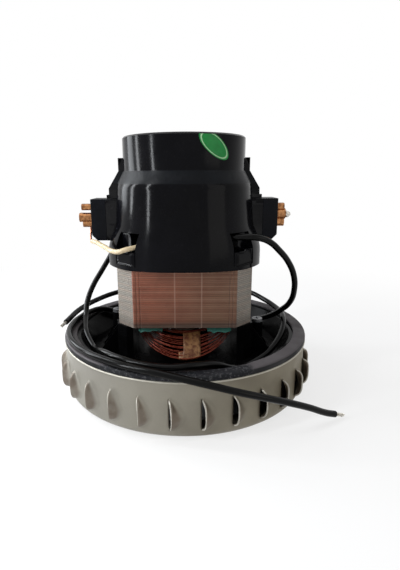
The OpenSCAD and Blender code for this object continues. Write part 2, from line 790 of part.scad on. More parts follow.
module carbon_brush() {
    color("#3a3a3c") difference() {
        translate([commutator_r - 2, -brush_w / 2, brush_z - brush_t / 2])
            cube([brush_back_x - commutator_r + 2, brush_w, brush_t]);
        translate([0, 0, brush_z - brush_t]) cylinder(r = brush_x, h = 2 * brush_t, $fn = 96);
    }
}

module brush_spring() {
    length = tube_end_x - tube_wall - brush_back_x - spring_gap;
    color("#c4c6c8") translate([brush_back_x + spring_gap, 0, brush_z]) rotate([0, 90, 0])
        difference() {
            cylinder(r = spring_r, h = length);
            translate([0, 0, -cut]) cylinder(r = spring_r - spring_wall, h = length + 2 * cut);
        }
}

// Folded clip on a holder's outer face: a plate and two rolled ears
module terminal_clip(ears) {
    face_x = holder_reach + clip_plate_t;
    t = clip_fold_t;
    translate([holder_reach, -clip_plate_w / 2, brush_z - clip_low])
        cube([clip_plate_t, clip_plate_w, clip_low + clip_high]);
    for (e = ears) let (low = e[0], high = e[1], out = e[2], w = e[3])
        translate([face_x, w / 2, brush_z]) rotate([90, 0, 0]) linear_extrude(w) difference() {
            translate([0, low]) square([out, high - low]);
            translate([t, low + t]) square([out - 2 * t, high - low - 2 * t]);
            translate([out - t - cut, (low + high - clip_slit) / 2]) square([t + 2 * cut, clip_slit]);
        }
}

module brush_terminal_right() {
    color("#b8743a") terminal_clip([[-clip_low, clip_high, 4.9, 8]]);
}

module brush_terminal_left() {
    color("#b8743a") left_side() terminal_clip([[2.6, clip_high, 5.4, 7], [-clip_low, 1.4, 7.2, 8]]);
}

module terminal_solder() {
    color("#d9d6cf") translate([holder_reach + clip_plate_t + 4.9, 0, brush_z]) rotate([0, 90, 0]) {
        cylinder(r = 2, h = 2.2);
        translate([0, 0, 2.2]) cylinder(r1 = 2, r2 = 1.2, h = 1.6);
    }
}

// Bearings

module outer_ring(z) {
    color("#c2c4c6") rotate_extrude($fn = 96) difference() {
        translate([ball_pcd_r + 1.3, z]) square([bearing_r - ball_pcd_r - 1.3, bearing_w]);
        translate([ball_pcd_r, z + bearing_w / 2]) circle(r = ball_r + run_gap, $fn = 48);
    }
}

module inner_ring(z) {
    color("#c2c4c6") rotate_extrude($fn = 96) difference() {
        translate([shaft_r, z]) square([ball_pcd_r - 1.3 - shaft_r, bearing_w]);
        translate([ball_pcd_r, z + bearing_w / 2]) circle(r = ball_r + run_gap, $fn = 48);
    }
}

module bearing_balls(z) {
    color("#d6d8da") for (i = [0 : ball_count - 1]) rotate([0, 0, 360 * i / ball_count])
        translate([ball_pcd_r, 0, z + bearing_w / 2]) sphere(r = ball_r);
}

// Rotor

module rotor_shaft() {
    color("#b4b6b8") {
        translate([0, 0, shaft_low_z + 1]) cylinder(r = shaft_r, h = shaft_top_z - shaft_low_z - 1);
        translate([0, 0, shaft_low_z]) cylinder(r1 = shaft_r - 1, r2 = shaft_r, h = 1);
    }
}

module armature_core() {
    color("#8d8f92") translate([0, 0, stator_z + 1]) difference() {
        cylinder(r = armature_r, h = stator_h - 2, $fn = 96);
        translate([0, 0, -cut]) cylinder(r = shaft_r, h = stator_h + cut);
        for (i = [0 : armature_slots - 1]) rotate([0, 0, 360 * i / armature_slots]) {
            translate([armature_r - 5, 0, -cut]) cylinder(r = 2.6, h = stator_h + cut);
            translate([armature_r - 3, -0.9, -cut]) cube([6, 1.8, stator_h + cut]);
        }
    }
}

// End bundles and the filled slots between them
module armature_winding() {
    low = stator_z + 1 - winding_h;
    high = stator_top_z - 1;
    color("#9b4a2c") {
        for (z = [low, high]) rotate_extrude() difference() {
            translate([sleeve_r, z]) square([winding_r - sleeve_r, winding_h]);
            translate([winding_r - 1.5, z == low ? z - 1.5 : z + winding_h + 1.5])
                rotate(45) square(4, center = true);
        }
        for (i = [0 : armature_slots - 1]) rotate([0, 0, 360 * i / armature_slots])
            translate([armature_r - 5, 0, low + winding_h - 0.5])
                cylinder(r = 2.4, h = high - low - winding_h + 1);
    }
}

module commutator_bars() {
    color("#b06a3c") difference() {
        union() {
            ring(commutator_r, hub_r, commutator_z, commutator_l);
            ring(commutator_r + 1.2, hub_r, commutator_z - 1.5, 2);
        }
        for (i = [0 : bar_count - 1]) rotate([0, 0, 360 * (i + 0.5) / bar_count])
            translate([hub_r - 1, -0.2, commutator_z - 2]) cube([10, 0.4, commutator_l + 4]);
    }
}

module commutator_hub() {
    low = stator_top_z - 1 + winding_h;
    color("#5b3a24") {
        ring(hub_r, shaft_r, low, commutator_z + commutator_l - low);
        ring(sleeve_r, shaft_r, commutator_z + commutator_l - 0.5,
            upper_bearing_z - commutator_z - commutator_l + 0.5);
        ring(sleeve_r, shaft_r, stator_top_z - 1, winding_h + 0.5);
    }
}

// Insulating sleeve between the lower bearing and the armature
module lower_sleeve() {
    color("#d8d2c4") ring(sleeve_r, shaft_r, lower_bearing_top, stator_z + 1 - lower_bearing_top);
}

module cooling_fan() {
    hub = 8;
    color("#26262a") {
        ring(hub, shaft_r, fan_z, fan_top_z - fan_z);
        for (i = [0 : fan_blades - 1]) rotate([0, 0, 360 * i / fan_blades])
            translate([hub - 0.6, 0, (fan_z + fan_top_z) / 2]) rotate([38, 0, 0])
                translate([0, -0.8, -6.4]) cube([fan_d / 2 - hub - 0.6, 1.6, 12.8]);
    }
}

module fan_clip() {
    color("#c4c6c8") ring(sleeve_r, shaft_r, fan_top_z, clip_t);
}

// Impeller

module impeller_spacer() {
    color("#a9abae") ring(spacer_r, shaft_r, disc_top_z, lower_bearing_z - disc_top_z);
}

module impeller_back_disc() {
    color("#c6c8ca") ring(impeller_r, shaft_r, disc_z, impeller_t);
}

module impeller_front_disc() {
    color("#c6c8ca") {
        ring(impeller_r, impeller_eye_r, front_disc_z, impeller_t);
    }
}

// Backward-curved vanes: slices of large tubes, kept between the two discs
module impeller_vanes() {
    color("#bfc1c4") for (i = [0 : vane_count - 1]) rotate([0, 0, 360 * i / vane_count])
        intersection() {
            ring(impeller_r - 0.5, impeller_eye_r + 2, vane_z, vane_h);
            translate([vane_curve_x, -vane_curve_y, 0]) intersection() {
                ring(vane_curve_r, vane_curve_r - vane_t, vane_z, vane_h);
                translate([-impeller_r, 0, vane_z]) cube([impeller_r, impeller_r, vane_h]);
            }
        }
}

module impeller_washer() {
    color("#b4b6b8") ring(washer_r, shaft_r, disc_z - impeller_t, impeller_t);
}

module impeller_nut() {
    color("#b4b6b8") translate([0, 0, nut_z]) difference() {
        cylinder(r = nut_r, h = nut_h, $fn = 6);
        translate([0, 0, -cut]) cylinder(r = shaft_r, h = nut_h + 2 * cut, $fn = 64);
    }
}

// Oval inspection label, a thin patch of the collar's own curve
module inspection_label() {
    color("#1f8f45") rotate([0, 0, label_turn]) intersection() {
        translate([0, 0, label_z]) rotate([90, 0, 0]) rotate([0, 0, -label_tilt])
            linear_extrude(collar_r + 4) label_outline();
        ring(collar_r + label_t, collar_r, label_z - label_l / 2,
            top_z - rim_round - label_z + label_l / 2);
    }
}

module label_outline() {
    k = (pow(label_l / 2, 2) + pow(label_w / 2, 2)) / label_w;
    intersection() {
        translate([0, k - label_w / 2]) circle(r = k, $fn = 96);
        translate([0, label_w / 2 - k]) circle(r = k, $fn = 96);
        circle(r = label_l / 2 - 0.6, $fn = 64);
    }
}

// Leads

module inner_lead() {
    color("#d9c7a5") swept_tube(inner_lead_points, inner_lead_d / 2, 8);
}

module black_lead(points) {
    color("#131315") swept_tube(points, lead_d / 2, 8);
}

// Bare tinned strands at a lead's cut end
module lead_tip(points) {
    last = points[len(points) - 1];
    along = unit(last - points[len(points) - 2]);
    color("#c9c9c4") swept_tube([last, last + tip_l * along], tip_d / 2, 8);
}

fan_housing();
seal_ring();
lower_bracket();
wave_washer();
stator_core();
stator_bolts();
slot_liners();
field_coil();  // field_coil_front
left_side() field_coil();  // field_coil_rear
coil_tape();  // coil_tape_front
left_side() coil_tape();  // coil_tape_rear
upper_bracket();
bracket_screws();
right_side() brush_holder();  // brush_holder_right
left_side() brush_holder();  // brush_holder_left
right_side() brush_tube();  // brush_tube_right
left_side() brush_tube();  // brush_tube_left
brush_terminal_right();
brush_terminal_left();
terminal_solder();
right_side() brush_spring();  // brush_spring_right
left_side() brush_spring();  // brush_spring_left
right_side() carbon_brush();  // carbon_brush_right
left_side() carbon_brush();  // carbon_brush_left
outer_ring(lower_bearing_z);  // lower_bearing_outer_ring
bearing_balls(lower_bearing_z);  // lower_bearing_balls
inner_ring(lower_bearing_z);  // lower_bearing_inner_ring
outer_ring(upper_bearing_z);  // upper_bearing_outer_ring
bearing_balls(upper_bearing_z);  // upper_bearing_balls
inner_ring(upper_bearing_z);  // upper_bearing_inner_ring
rotor_shaft();
armature_core();
armature_winding();
commutator_bars();
commutator_hub();
lower_sleeve();
cooling_fan();
fan_clip();
impeller_spacer();
impeller_back_disc();
impeller_vanes();
impeller_front_disc();
impeller_washer();
impeller_nut();
inspection_label();
inner_lead();
black_lead(right_lead_points);  // black_lead_right
black_lead(left_lead_points);  // black_lead_left
lead_tip(right_lead_points);  // lead_tip_right
lead_tip(left_lead_points);  // lead_tip_left
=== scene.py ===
"""Dresses a packed vacuum motor unit: pressed drum, rubber seal, black brackets, wound coils and leads."""

import math

import bmesh
import bpy
from bpy.props import FloatProperty, FloatVectorProperty, IntProperty, PointerProperty
from mathutils import Matrix, Vector, noise


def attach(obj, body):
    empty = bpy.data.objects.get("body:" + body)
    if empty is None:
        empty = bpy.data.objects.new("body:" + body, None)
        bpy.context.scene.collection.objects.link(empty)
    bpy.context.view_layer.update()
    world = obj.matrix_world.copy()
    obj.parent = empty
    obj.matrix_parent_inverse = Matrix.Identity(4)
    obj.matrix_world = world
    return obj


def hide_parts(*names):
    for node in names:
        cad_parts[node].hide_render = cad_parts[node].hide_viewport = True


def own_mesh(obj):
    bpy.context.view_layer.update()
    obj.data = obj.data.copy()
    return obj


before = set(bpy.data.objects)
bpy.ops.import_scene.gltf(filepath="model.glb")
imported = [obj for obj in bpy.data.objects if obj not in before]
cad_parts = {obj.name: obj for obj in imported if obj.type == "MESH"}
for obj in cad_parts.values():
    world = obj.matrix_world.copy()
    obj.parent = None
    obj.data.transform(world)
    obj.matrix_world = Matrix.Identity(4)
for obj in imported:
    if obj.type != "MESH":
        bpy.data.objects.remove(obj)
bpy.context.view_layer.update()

bl_info = {
    "name": "Vacuum motor unit",
    "version": (1, 0, 0),
    "blender": (4, 5, 0),
    "location": "View3D > Sidebar > Motor",
    "description": "Builds the visible pieces of a vacuum motor unit round its solid model",
    "category": "Add Mesh",
}

# Constants are in millimetres and degrees where nothing else is said.

# Routes of the leads, the same as in the solid model
RIGHT_LEAD = [
    (24.5, -29.8, 90.6), (31.5, -31.9, 91.2), (38.3, -31.4, 90.6), (44.5, -28.5, 88),
    (50.5, -25, 82.8), (56.5, -20.5, 76), (61, -16.5, 67.5), (63, -12, 58), (62.8, -5, 48.5),
    (59.5, 4, 40.5), (54.5, 12.5, 34), (49, 20.5, 29.5), (42.5, 28, 26), (34, 35.5, 24.2),
    (23, 42, 24), (10, 46.4, 24), (-4, 47.2, 24), (-17, 45.2, 24), (-29, 41, 25),
    (-39.5, 36.5, 28), (-48, 32, 31.6), (-56, 26.5, 35), (-62.4, 18, 35.6), (-66, 8, 35.4),
    (-67.7, -3, 35.4), (-67.2, -14.5, 35.4), (-63.8, -26.5, 35.4), (-57.5, -38.4, 35.4),
    (-48.5, -49.3, 35.4), (-37.5, -58.5, 35.4), (-25.5, -65.8, 35.4), (-13, -71.3, 35.2),
    (0, -74.8, 33.6), (12, -76.3, 31.2), (24, -75.9, 27.8), (36, -72.8, 23.4),
    (48, -67.8, 18), (60, -62.2, 12), (71, -57, 5.8), (76, -54.8, 3.8),
]
LEFT_LEAD = [
    (-24.5, 29.8, 89.8), (-31.5, 32.8, 90.4), (-38.5, 35, 88.6), (-44.5, 35, 81.5),
    (-49, 32, 71.5), (-54.5, 27.5, 62), (-60, 21.5, 52.5), (-62.8, 15, 44), (-62.4, 7, 37.4),
    (-60.8, -2, 34.6), (-58.4, -11.5, 32.6), (-54.4, -20, 30), (-50.2, -27.5, 28.8),
    (-47, -36, 31.6), (-41.6, -46, 34.6), (-33, -55.5, 35.6), (-21, -62.5, 35.4),
    (-8, -66.2, 35.4), (4, -64.4, 35.5), (14.5, -58.3, 33.2), (23, -50.5, 27.8),
    (31, -41.8, 24.2), (39, -33.8, 24.1), (46.6, -26.2, 25.6), (53.2, -18, 28.8),
    (58.2, -8.5, 32.3), (61.2, 2.5, 34.9), (62, 14, 36), (60.2, 26, 36.4), (55.5, 38, 37.6),
    (47.5, 49, 39.6), (36, 57.3, 40.6), (20, 62.6, 39.6), (0, 64.3, 38.2), (-20, 62.6, 39.4),
    (-37, 56.3, 40.8), (-49.5, 47.5, 40.4), (-60, 36, 39), (-68.6, 19.5, 37.3), (-72.6, -2.5, 35.6),
]
INNER_LEAD = [
    (-54.4, 0, 93.1), (-54.4, 0, 91.2), (-54, -3.5, 88), (-52.4, -8, 86), (-49.3, -11.2, 85.8),
    (-45.6, -17.4, 85.2), (-41.8, -23, 84.6), (-38.2, -28.5, 83.9), (-34, -31.9, 83.9),
    (-30.6, -33, 85), (-27.4, -32.5, 85.7), (-24.8, -31.6, 86.1), (-22.8, -30.2, 86.5),
]
BARE_WIRE_POINTS = 4
BARE_WIRE_R = 0.55
LEAD_DIAMETER = 3.4
INNER_DIAMETER = 2.6
TIP_LENGTH = 6.5
OUTER_STRANDS = 6
STRAND_R = 0.3
STRAND_SPREAD = 0.62
STRAND_STEPS = 8
STRAND_TWIST = 1.4

# Drum, with outlines as (radius, height): its bottom out from the intake's lip, and its bead
HOUSING_R = 71.0
SHEET = 0.8
DRUM_BOTTOM = [(21.0, 3.0), (21.0, 1.6), (21.2, 0.6), (22.0, 0.05), (24.0, 0.0), (40.0, 0.0),
               (56.0, 0.0)]
DRUM_CORNER_R = 5.0
DRUM_BEAD = [(71.3, 29.38), (71.58, 29.65), (71.6, 29.95), (71.4, 30.25), (71.0, 30.4),
             (70.4, 30.45)]
WALL_LOW = 5.0
WALL_HIGH = 29.3
WALL_ROWS = 36

# Louvres: a hood is widest at a share of its height, and its lip lies back from its slit
LOUVRES = 29
LOUVRE_COLUMNS = 16
LOUVRE_Z = 13.5
LOUVRE_HALF = 8.0
SLIT_MARGIN = 0.4
LOUVRE_DEPTH = 4.0
HOOD_WIDTH = 7.8
HOOD_LEAST_WIDTH = 0.6
HOOD_WIDEST = 0.42
LIP_SETBACK = 1.7

# Powers that shape a hood: its lip, how it narrows upwards and how it falls from the lip
LIP_POWER = 3.2
NARROWING_POWER = 0.75
FALL_POWER = 1.3

SEAL_OUTLINE = [(70.2, 30.5), (71.0, 30.5), (71.4, 30.6), (71.5, 31.0), (71.5, 32.6),
                (71.35, 33.1), (70.9, 33.5), (70.3, 33.6), (68.5, 33.6), (66.6, 33.55),
                (65.3, 33.5), (64.7, 33.35), (64.5, 33.0), (64.5, 32.0), (67.4, 32.0),
                (70.2, 32.0)]
SEAL_TOP = 33.6
SEAL_FACE_LOW = 32.4

# Torn stretch of the seal: its depth, and the angles over which each end fades in
TORN_DEPTH = 0.25
TORN_RIGHT = (-59.5, -61)
TORN_LEFT = (-125, -110)

# Outline of the cap: radius of the skirt's corners, half its width, its front curve, and the
# turned barrel as (height, radius). The two join over EASE.
SKIRT_R = 46.2
SKIRT_HALF = 43.0
FRONT_CURVE_R = 100.0
FRONT_SHIFT = 60.6
BARREL = [(84.3, 46.2), (95.3, 39.7), (115.7, 38.0), (117.7, 37.5), (124.4, 34.0)]
EASE = 9.0
FLARE_LOW = 74
FLARE_HIGH = 116
FLARE_BEND = 97
BARREL_EASED = 112

# Shading of the cap: its front is plain up to a distance from the middle and a height, and
# leans up a little. The flare's own slope shows at a share of its strength.
FRONT_PLAIN_X = 24
FRONT_FADED_X = 29
FRONT_PLAIN_Z = 115.2
FRONT_FADED_Z = 116.2
FRONT_LEAN = 0.08
FLARE_SHARE = 0.25

# Paper under the stack: left and right edge and lowest height of each cuff
CUFFS = [(-25.4, -12.4, 39.0), (12.2, 25.4, 38.8)]
CUFF_TOP = 42.35
CUFF_Y = 24.6
CUFF_FLARE = 4.6
CUFF_HOLLOW = 1.1
CUFF_RAGGED = 1.6
PAPER = 0.25

# Widths of the bevels on the stack and the cooling fan
STACK_EDGE = 0.14
FAN_EDGE = 0.25

# Field coils: ends of the slots, their place, the shares of a turn spent at an end and in a
# slot, and how much the half turns sag and lean
COIL_TOP = 83.5
COIL_BOTTOM = 41.5
SLOT_X = 24.5
ACROSS_SHARE = 0.44
SLOT_SHARE = 0.06
COIL_ROWS = 10.3
TURN_STEPS = 44
SAG = 1.6
LEAN = 0.6

# Rows of a coil, as the first one's place and the pitch: distance from the middle in the
# slots and at the ends, and distance from the slots' ends along the axis. An outer layer lies
# further out and closer to the stack.
ROW_IN_SLOT = (4.2, 1.5)
ROW_AT_END = (19.6, 1.3)
ROW_RISE = (2.6, 1.4)
LAYER_OUT = 0.73
LAYER_UP = 0.68
SAG_SHARE = 0.7
END_WIDENING = 1.8

# Tape round the middle of a coil's lower end
TAPE_LEFT = -1.0
TAPE_RIGHT = 8.6
TAPE_HALF = 1.75
TAPE_TOP = 2.6
TAPE_FLATNESS = 0.6
TAPE_UNEVEN = 0.22
TAPE = 0.25

# Brass terminals: the plate's corners, then low, high, end and width of each rolled fold
PLATE = ((52.2, -3.5, 93.3), (53.0, 3.5, 106.5))
FOLD_START = 52.9
FOLDS = {
    "right": [(102.4, 106.5, 57.0, 7.0), (97.4, 103.4, 57.8, 7.8), (93.3, 98.6, 57.1, 7.2)],
    "left": [(102.9, 106.5, 58.6, 6.6), (96.2, 101.4, 60.1, 7.6), (93.3, 97.3, 58.2, 6.8)],
}
FOLD_ROUNDING = 0.47
FOLD_RIM = 0.55
FOLD_RECESS = 1.2
BRUSH_Z = 100
SOLDER_X = 59.3
SOLDER_LONG = 2.1
SOLDER_R = 1.85

# Brush springs
SPRING_START = 36.7
SPRING_END = 50.3
SPRING_R = 2.2
SPRING_WIRE_R = 0.35
SPRING_TURNS = 9
SPRING_STEPS = 16

# Oval label on the collar, turned from the front towards the right and tilted
COLLAR_R = 34.1
LABEL_LIFT = 0.02
LABEL_Z = 136.0
LABEL_TOP = 141.2
LABEL_LONG = 10.0
LABEL_SHORT = 4.5
LABEL_TILT = -36
LABEL_TURN = 26.4
LABEL_LINE = (0.84, 0.93)

# Camera fitted to the photo, with its place in metres
PHOTO_WIDTH = 400
PHOTO_HEIGHT = 570
FOCAL_PIXELS = 421
CENTRE_PIXEL = 184.1
SENSOR = 36
CAMERA_PLACE = (0, -0.246, 0.1211)
CAMERA_DOWN = 14.4
CAMERA_ROLL = 0.33

# Lamps in metres and watts: name, place, height that they aim at, size, power and tint
LAMPS = [
    ("window_left", (-0.42, -0.26, 0.3), 0.09, (0.03, 0.42), 1.9, (0.94, 0.97, 1.0)),
    ("window_side", (-0.5, 0.02, 0.3), 0.09, (0.05, 0.4), 1.7, (0.94, 0.97, 1.0)),
    ("window_far", (-0.46, 0.2, 0.3), 0.09, (0.16, 0.4), 1.7, (0.92, 0.96, 1.0)),
    ("overhead", (-0.1, -0.06, 0.62), 0.08, (0.5, 0.4), 0.8, (1, 1, 1)),
    ("fill_right", (0.45, -0.35, 0.2), 0.06, (0.3, 0.3), 0.35, (1.0, 0.96, 0.9)),
]
WORLD_LIGHT = 0.34


def mm(value):
    """Millimetres to metres, for a number or a point."""
    if isinstance(value, (int, float)):
        return value * 0.001
    return Vector(value) * 0.001


def colour(code):
    """Linear colour of a six-digit sRGB code."""
    parts = [int(code[i:i + 2], 16) / 255 for i in (0, 2, 4)]
    return tuple(c / 12.92 if c <= 0.04045 else ((c + 0.055) / 1.055) ** 2.4 for c in parts)


def rgba(code):
    """Four-part colour of a six-digit code, or of a colour property."""
    return (*(colour(code) if isinstance(code, str) else code), 1.0)


def step(low, high, value):
    """Smooth rise from 0 at low to 1 at high, or fall where low is the larger."""
    t = min(1.0, max(0.0, (value - low) / (high - low)))
    return t * t * (3 - 2 * t)


# Shader nodes


def put(tree, value, socket):
    """Links an output, or sets a plain value. A string is a colour's six-digit code."""
    if isinstance(value, bpy.types.NodeSocket):
        tree.links.new(value, socket)
    else:
        socket.default_value = rgba(value) if isinstance(value, str) else value


def maths(tree, operation, first, second=0.0, clamp=False):
    """Result of one arithmetic operation, kept between 0 and 1 where clamp is set."""
    node = tree.nodes.new("ShaderNodeMath")
    node.operation = operation
    node.use_clamp = clamp
    put(tree, first, node.inputs[0])
    put(tree, second, node.inputs[1])
    return node.outputs[0]


def plus(tree, first, second):
    """Sum of two values."""
    return maths(tree, "ADD", first, second)


def times(tree, first, second, clamp=False):
    """Product of two values."""
    return maths(tree, "MULTIPLY", first, second, clamp)


def distance(tree, value, middle):
    """How far a value is from the middle, on either side."""
    return maths(tree, "ABSOLUTE", maths(tree, "SUBTRACT", value, middle))


def mixed(tree, factor, first, second):
    """Colour between first and second."""
    node = tree.nodes.new("ShaderNodeMix")
    node.data_type = "RGBA"
    put(tree, factor, node.inputs[0])
    put(tree, first, node.inputs[6])
    put(tree, second, node.inputs[7])
    return node.outputs[2]


def ramp(tree, value, low, high, out_low=0.0, out_high=1.0):
    """Maps a value from one range to another, smoothly and clamped."""
    node = tree.nodes.new("ShaderNodeMapRange")
    node.interpolation_type = "SMOOTHSTEP"
    for socket, number in zip(node.inputs[:5], (value, low, high, out_low, out_high)):
        put(tree, number, socket)
    return node.outputs[0]


def split(tree, vector):
    """The three parts of a vector."""
    node = tree.nodes.new("ShaderNodeSeparateXYZ")
    tree.links.new(vector, node.inputs[0])
    return node.outputs[:3]


def cloud(tree, vector, scale, detail=3.0, roughness=0.55):
    """A noise value round 0.5."""
    node = tree.nodes.new("ShaderNodeTexNoise")
    put(tree, vector, node.inputs["Vector"])
    put(tree, scale, node.inputs["Scale"])
    node.inputs["Detail"].default_value = detail
    node.inputs["Roughness"].default_value = roughness
    return node.outputs["Fac"]


def patches(tree, vector, scale, detail, span, out=(0.0, 1.0), roughness=0.55):
    """Patches of noise: out goes from its first to its second value as the noise crosses the span."""
    return ramp(tree, cloud(tree, vector, scale, detail, roughness), *span, *out)


# Shader node groups


def new_group(name, inputs, outputs):
    """An empty node group with its sockets, and its input and output nodes."""
    tree = bpy.data.node_groups.new(name, "ShaderNodeTree")
    for label, kind, value in inputs:
        socket = tree.interface.new_socket(label, in_out="INPUT", socket_type="NodeSocket" + kind)
        if value is not None:
            socket.default_value = value
    for label, kind in outputs:
        tree.interface.new_socket(label, in_out="OUTPUT", socket_type="NodeSocket" + kind)
    return tree, tree.nodes.new("NodeGroupInput"), tree.nodes.new("NodeGroupOutput")


def variation_group():
    """Cloudy change between two colours, with its own roughness and fine grain."""
    tree, given, out = new_group(
        "Surface variation",
        [("Vector", "Vector", None), ("Base", "Color", None), ("Second", "Color", None),
         ("Cloud Scale", "Float", 60.0), ("Grain Scale", "Float", 1500.0),
         ("Rough Low", "Float", 0.3), ("Rough High", "Float", 0.5)],
        [("Color", "Color"), ("Roughness", "Float"), ("Height", "Float")],
    )
    value = given.outputs
    clouds = patches(tree, value["Vector"], value["Cloud Scale"], 5.0, (0.34, 0.68), roughness=0.6)
    grain = cloud(tree, value["Vector"], value["Grain Scale"], 2.0)
    both = plus(tree, times(tree, clouds, 0.8), times(tree, grain, 0.2))
    put(tree, mixed(tree, both, value["Base"], value["Second"]), out.inputs["Color"])
    put(tree, ramp(tree, both, 0.1, 0.9, value["Rough Low"], value["Rough High"]),
        out.inputs["Roughness"])
    put(tree, grain, out.inputs["Height"])
    return tree


def dust_group():
    """Pale dust in specks and films, thicker on what faces up."""
    tree, given, out = new_group(
        "Settled dust",
        [("Vector", "Vector", None), ("Color", "Color", None), ("Dust", "Color", None),
         ("Amount", "Float", 0.2), ("Speck Scale", "Float", 900.0)],
        [("Color", "Color"), ("Mask", "Float")],
    )
    value = given.outputs
    up = split(tree, tree.nodes.new("ShaderNodeNewGeometry").outputs["Normal"])[2]
    facing = ramp(tree, up, -0.2, 1.0, 0.35, 1.0)
    specks = patches(tree, value["Vector"], value["Speck Scale"], 2.0, (0.62, 0.72))
    film = patches(tree, value["Vector"], 70.0, 4.0, (0.42, 0.75))
    total = plus(tree, specks, times(tree, film, 0.5))
    mask = times(tree, times(tree, total, facing), value["Amount"], True)
    put(tree, mixed(tree, mask, value["Color"], value["Dust"]), out.inputs["Color"])
    put(tree, mask, out.inputs["Mask"])
    return tree


def lines_group():
    """Fine level lines, as the edges of stacked sheets show."""
    tree, given, out = new_group(
        "Stacked lines",
        [("Vector", "Vector", None), ("Pitch", "Float", 0.001)],
        [("Lines", "Float"), ("Uneven", "Float")],
    )
    height = split(tree, given.outputs["Vector"])[2]
    count = maths(tree, "DIVIDE", height, given.outputs["Pitch"])
    saw = distance(tree, maths(tree, "FRACT", count), 0.5)
    put(tree, ramp(tree, saw, 0.25, 0.5), out.inputs["Lines"])
    level = tree.nodes.new("ShaderNodeTexWhiteNoise")
    level.noise_dimensions = "1D"
    put(tree, maths(tree, "FLOOR", count), level.inputs["W"])
    put(tree, level.outputs["Value"], out.inputs["Uneven"])
    return tree


GROUPS = {}


def group_node(tree, name, **values):
    """A placed node group with its inputs set or linked; underscores stand for spaces."""
    node = tree.nodes.new("ShaderNodeGroup")
    node.node_tree = GROUPS[name]
    for key, value in values.items():
        put(tree, value, node.inputs[key.replace("_", " ")])
    return node


def variation(tree, place, base, second, rough, clouds, grain):
    """Outputs of the group that varies a surface between two colours."""
    return group_node(tree, "variation", Vector=place, Base=rgba(base), Second=second,
                      Cloud_Scale=clouds, Grain_Scale=grain, Rough_Low=rough[0],
                      Rough_High=rough[1]).outputs


def dusted(tree, place, tone, dust, amount):
    """A colour with settled dust over it."""
    return group_node(tree, "dust", Vector=place, Color=tone, Dust=dust,
                      Amount=amount).outputs["Color"]


# Finishes


def principled(name, metallic=0.0, gloss=0.5, coat=0.0):
    """An empty material with its shader and Object coordinates."""
    material = bpy.data.materials.new(name)
    material.use_nodes = True
    tree = material.node_tree
    shader = tree.nodes["Principled BSDF"]
    shader.inputs["Metallic"].default_value = metallic
    shader.inputs["Specular IOR Level"].default_value = gloss
    shader.inputs["Coat Weight"].default_value = coat
    place = tree.nodes.new("ShaderNodeTexCoord").outputs["Object"]
    return material, tree, shader, place


def connect(tree, shader, tone, roughness, height=None, bump=0.0):
    """Feeds the shader its colour and roughness, and bumps of a size in millimetres."""
    put(tree, tone, shader.inputs["Base Color"])
    put(tree, roughness, shader.inputs["Roughness"])
    if height is not None:
        node = tree.nodes.new("ShaderNodeBump")
        node.inputs["Distance"].default_value = mm(bump)
        put(tree, height, node.inputs["Height"])
        tree.links.new(node.outputs[0], shader.inputs["Normal"])


def plain_finish(name, base, second, rough, clouds, grain, bump, metallic=0.0, gloss=0.5,
                 coat=0.0, dust=0.0, dust_colour="8a8782"):
    """The finish that most pieces share: cloudy colour, fine grain and settled dust."""
    material, tree, shader, place = principled(name, metallic, gloss, coat)
    varied = variation(tree, place, base, second, rough, clouds, grain)
    tone = varied["Color"]
    if dust:
        tone = dusted(tree, place, tone, dust_colour, dust)
    connect(tree, shader, tone, varied["Roughness"], varied["Height"], bump)
    return material


def stack_finish():
    """Sheet edges: brown front and rear faces, grainy grey chamfers, welds and fine lines, with painted
    shade darkening faces and chamfers towards the bottom.
    """
    material, tree, shader, place = principled("lamination_edges", metallic=0.35)
    across, depth, height = split(tree, place)
    front = ramp(tree, maths(tree, "ABSOLUTE", depth), mm(32.3), mm(32.8))
    brown = mixed(tree, ramp(tree, across, mm(-24), mm(24)), "884c37", "684a36")
    mottled = patches(tree, place, 90.0, 4.0, (0.35, 0.7))
    brown = mixed(tree, times(tree, mottled, 0.45), brown, "63392d")
    # Painted shade: the faces darken to near black towards the bottom of the stack.
    brown = mixed(tree, ramp(tree, height, mm(43.4), mm(47.4), 1.0, 0.0), brown, "2c211d")
    specks = patches(tree, place, 1500.0, 2.0, (0.4, 0.65))
    grey = mixed(tree, specks, "726f67", "86827b")
    # Painted shade: the chamfers darken towards the bottom of the stack.
    grey = mixed(tree, ramp(tree, height, mm(42), mm(50), 0.5, 0.0), grey, "35322e")
    lines = group_node(tree, "lines", Vector=place, Pitch=mm(1.0)).outputs
    tone = mixed(tree, front, grey, brown)
    tone = mixed(tree, times(tree, lines["Lines"], 0.62), tone, "38281f")
    tone = mixed(tree, times(tree, lines["Uneven"], 0.16), tone, "b99780")
    for seam in (-5.3, 8.9):
        near = distance(tree, across, mm(seam))
        weld = times(tree, ramp(tree, near, mm(0.15), mm(0.5), 0.3, 0.0), front)
        tone = mixed(tree, weld, tone, "b39684")
    connect(tree, shader, tone, ramp(tree, mottled, 0, 1, 0.42, 0.6), lines["Lines"], -0.09)
    return material


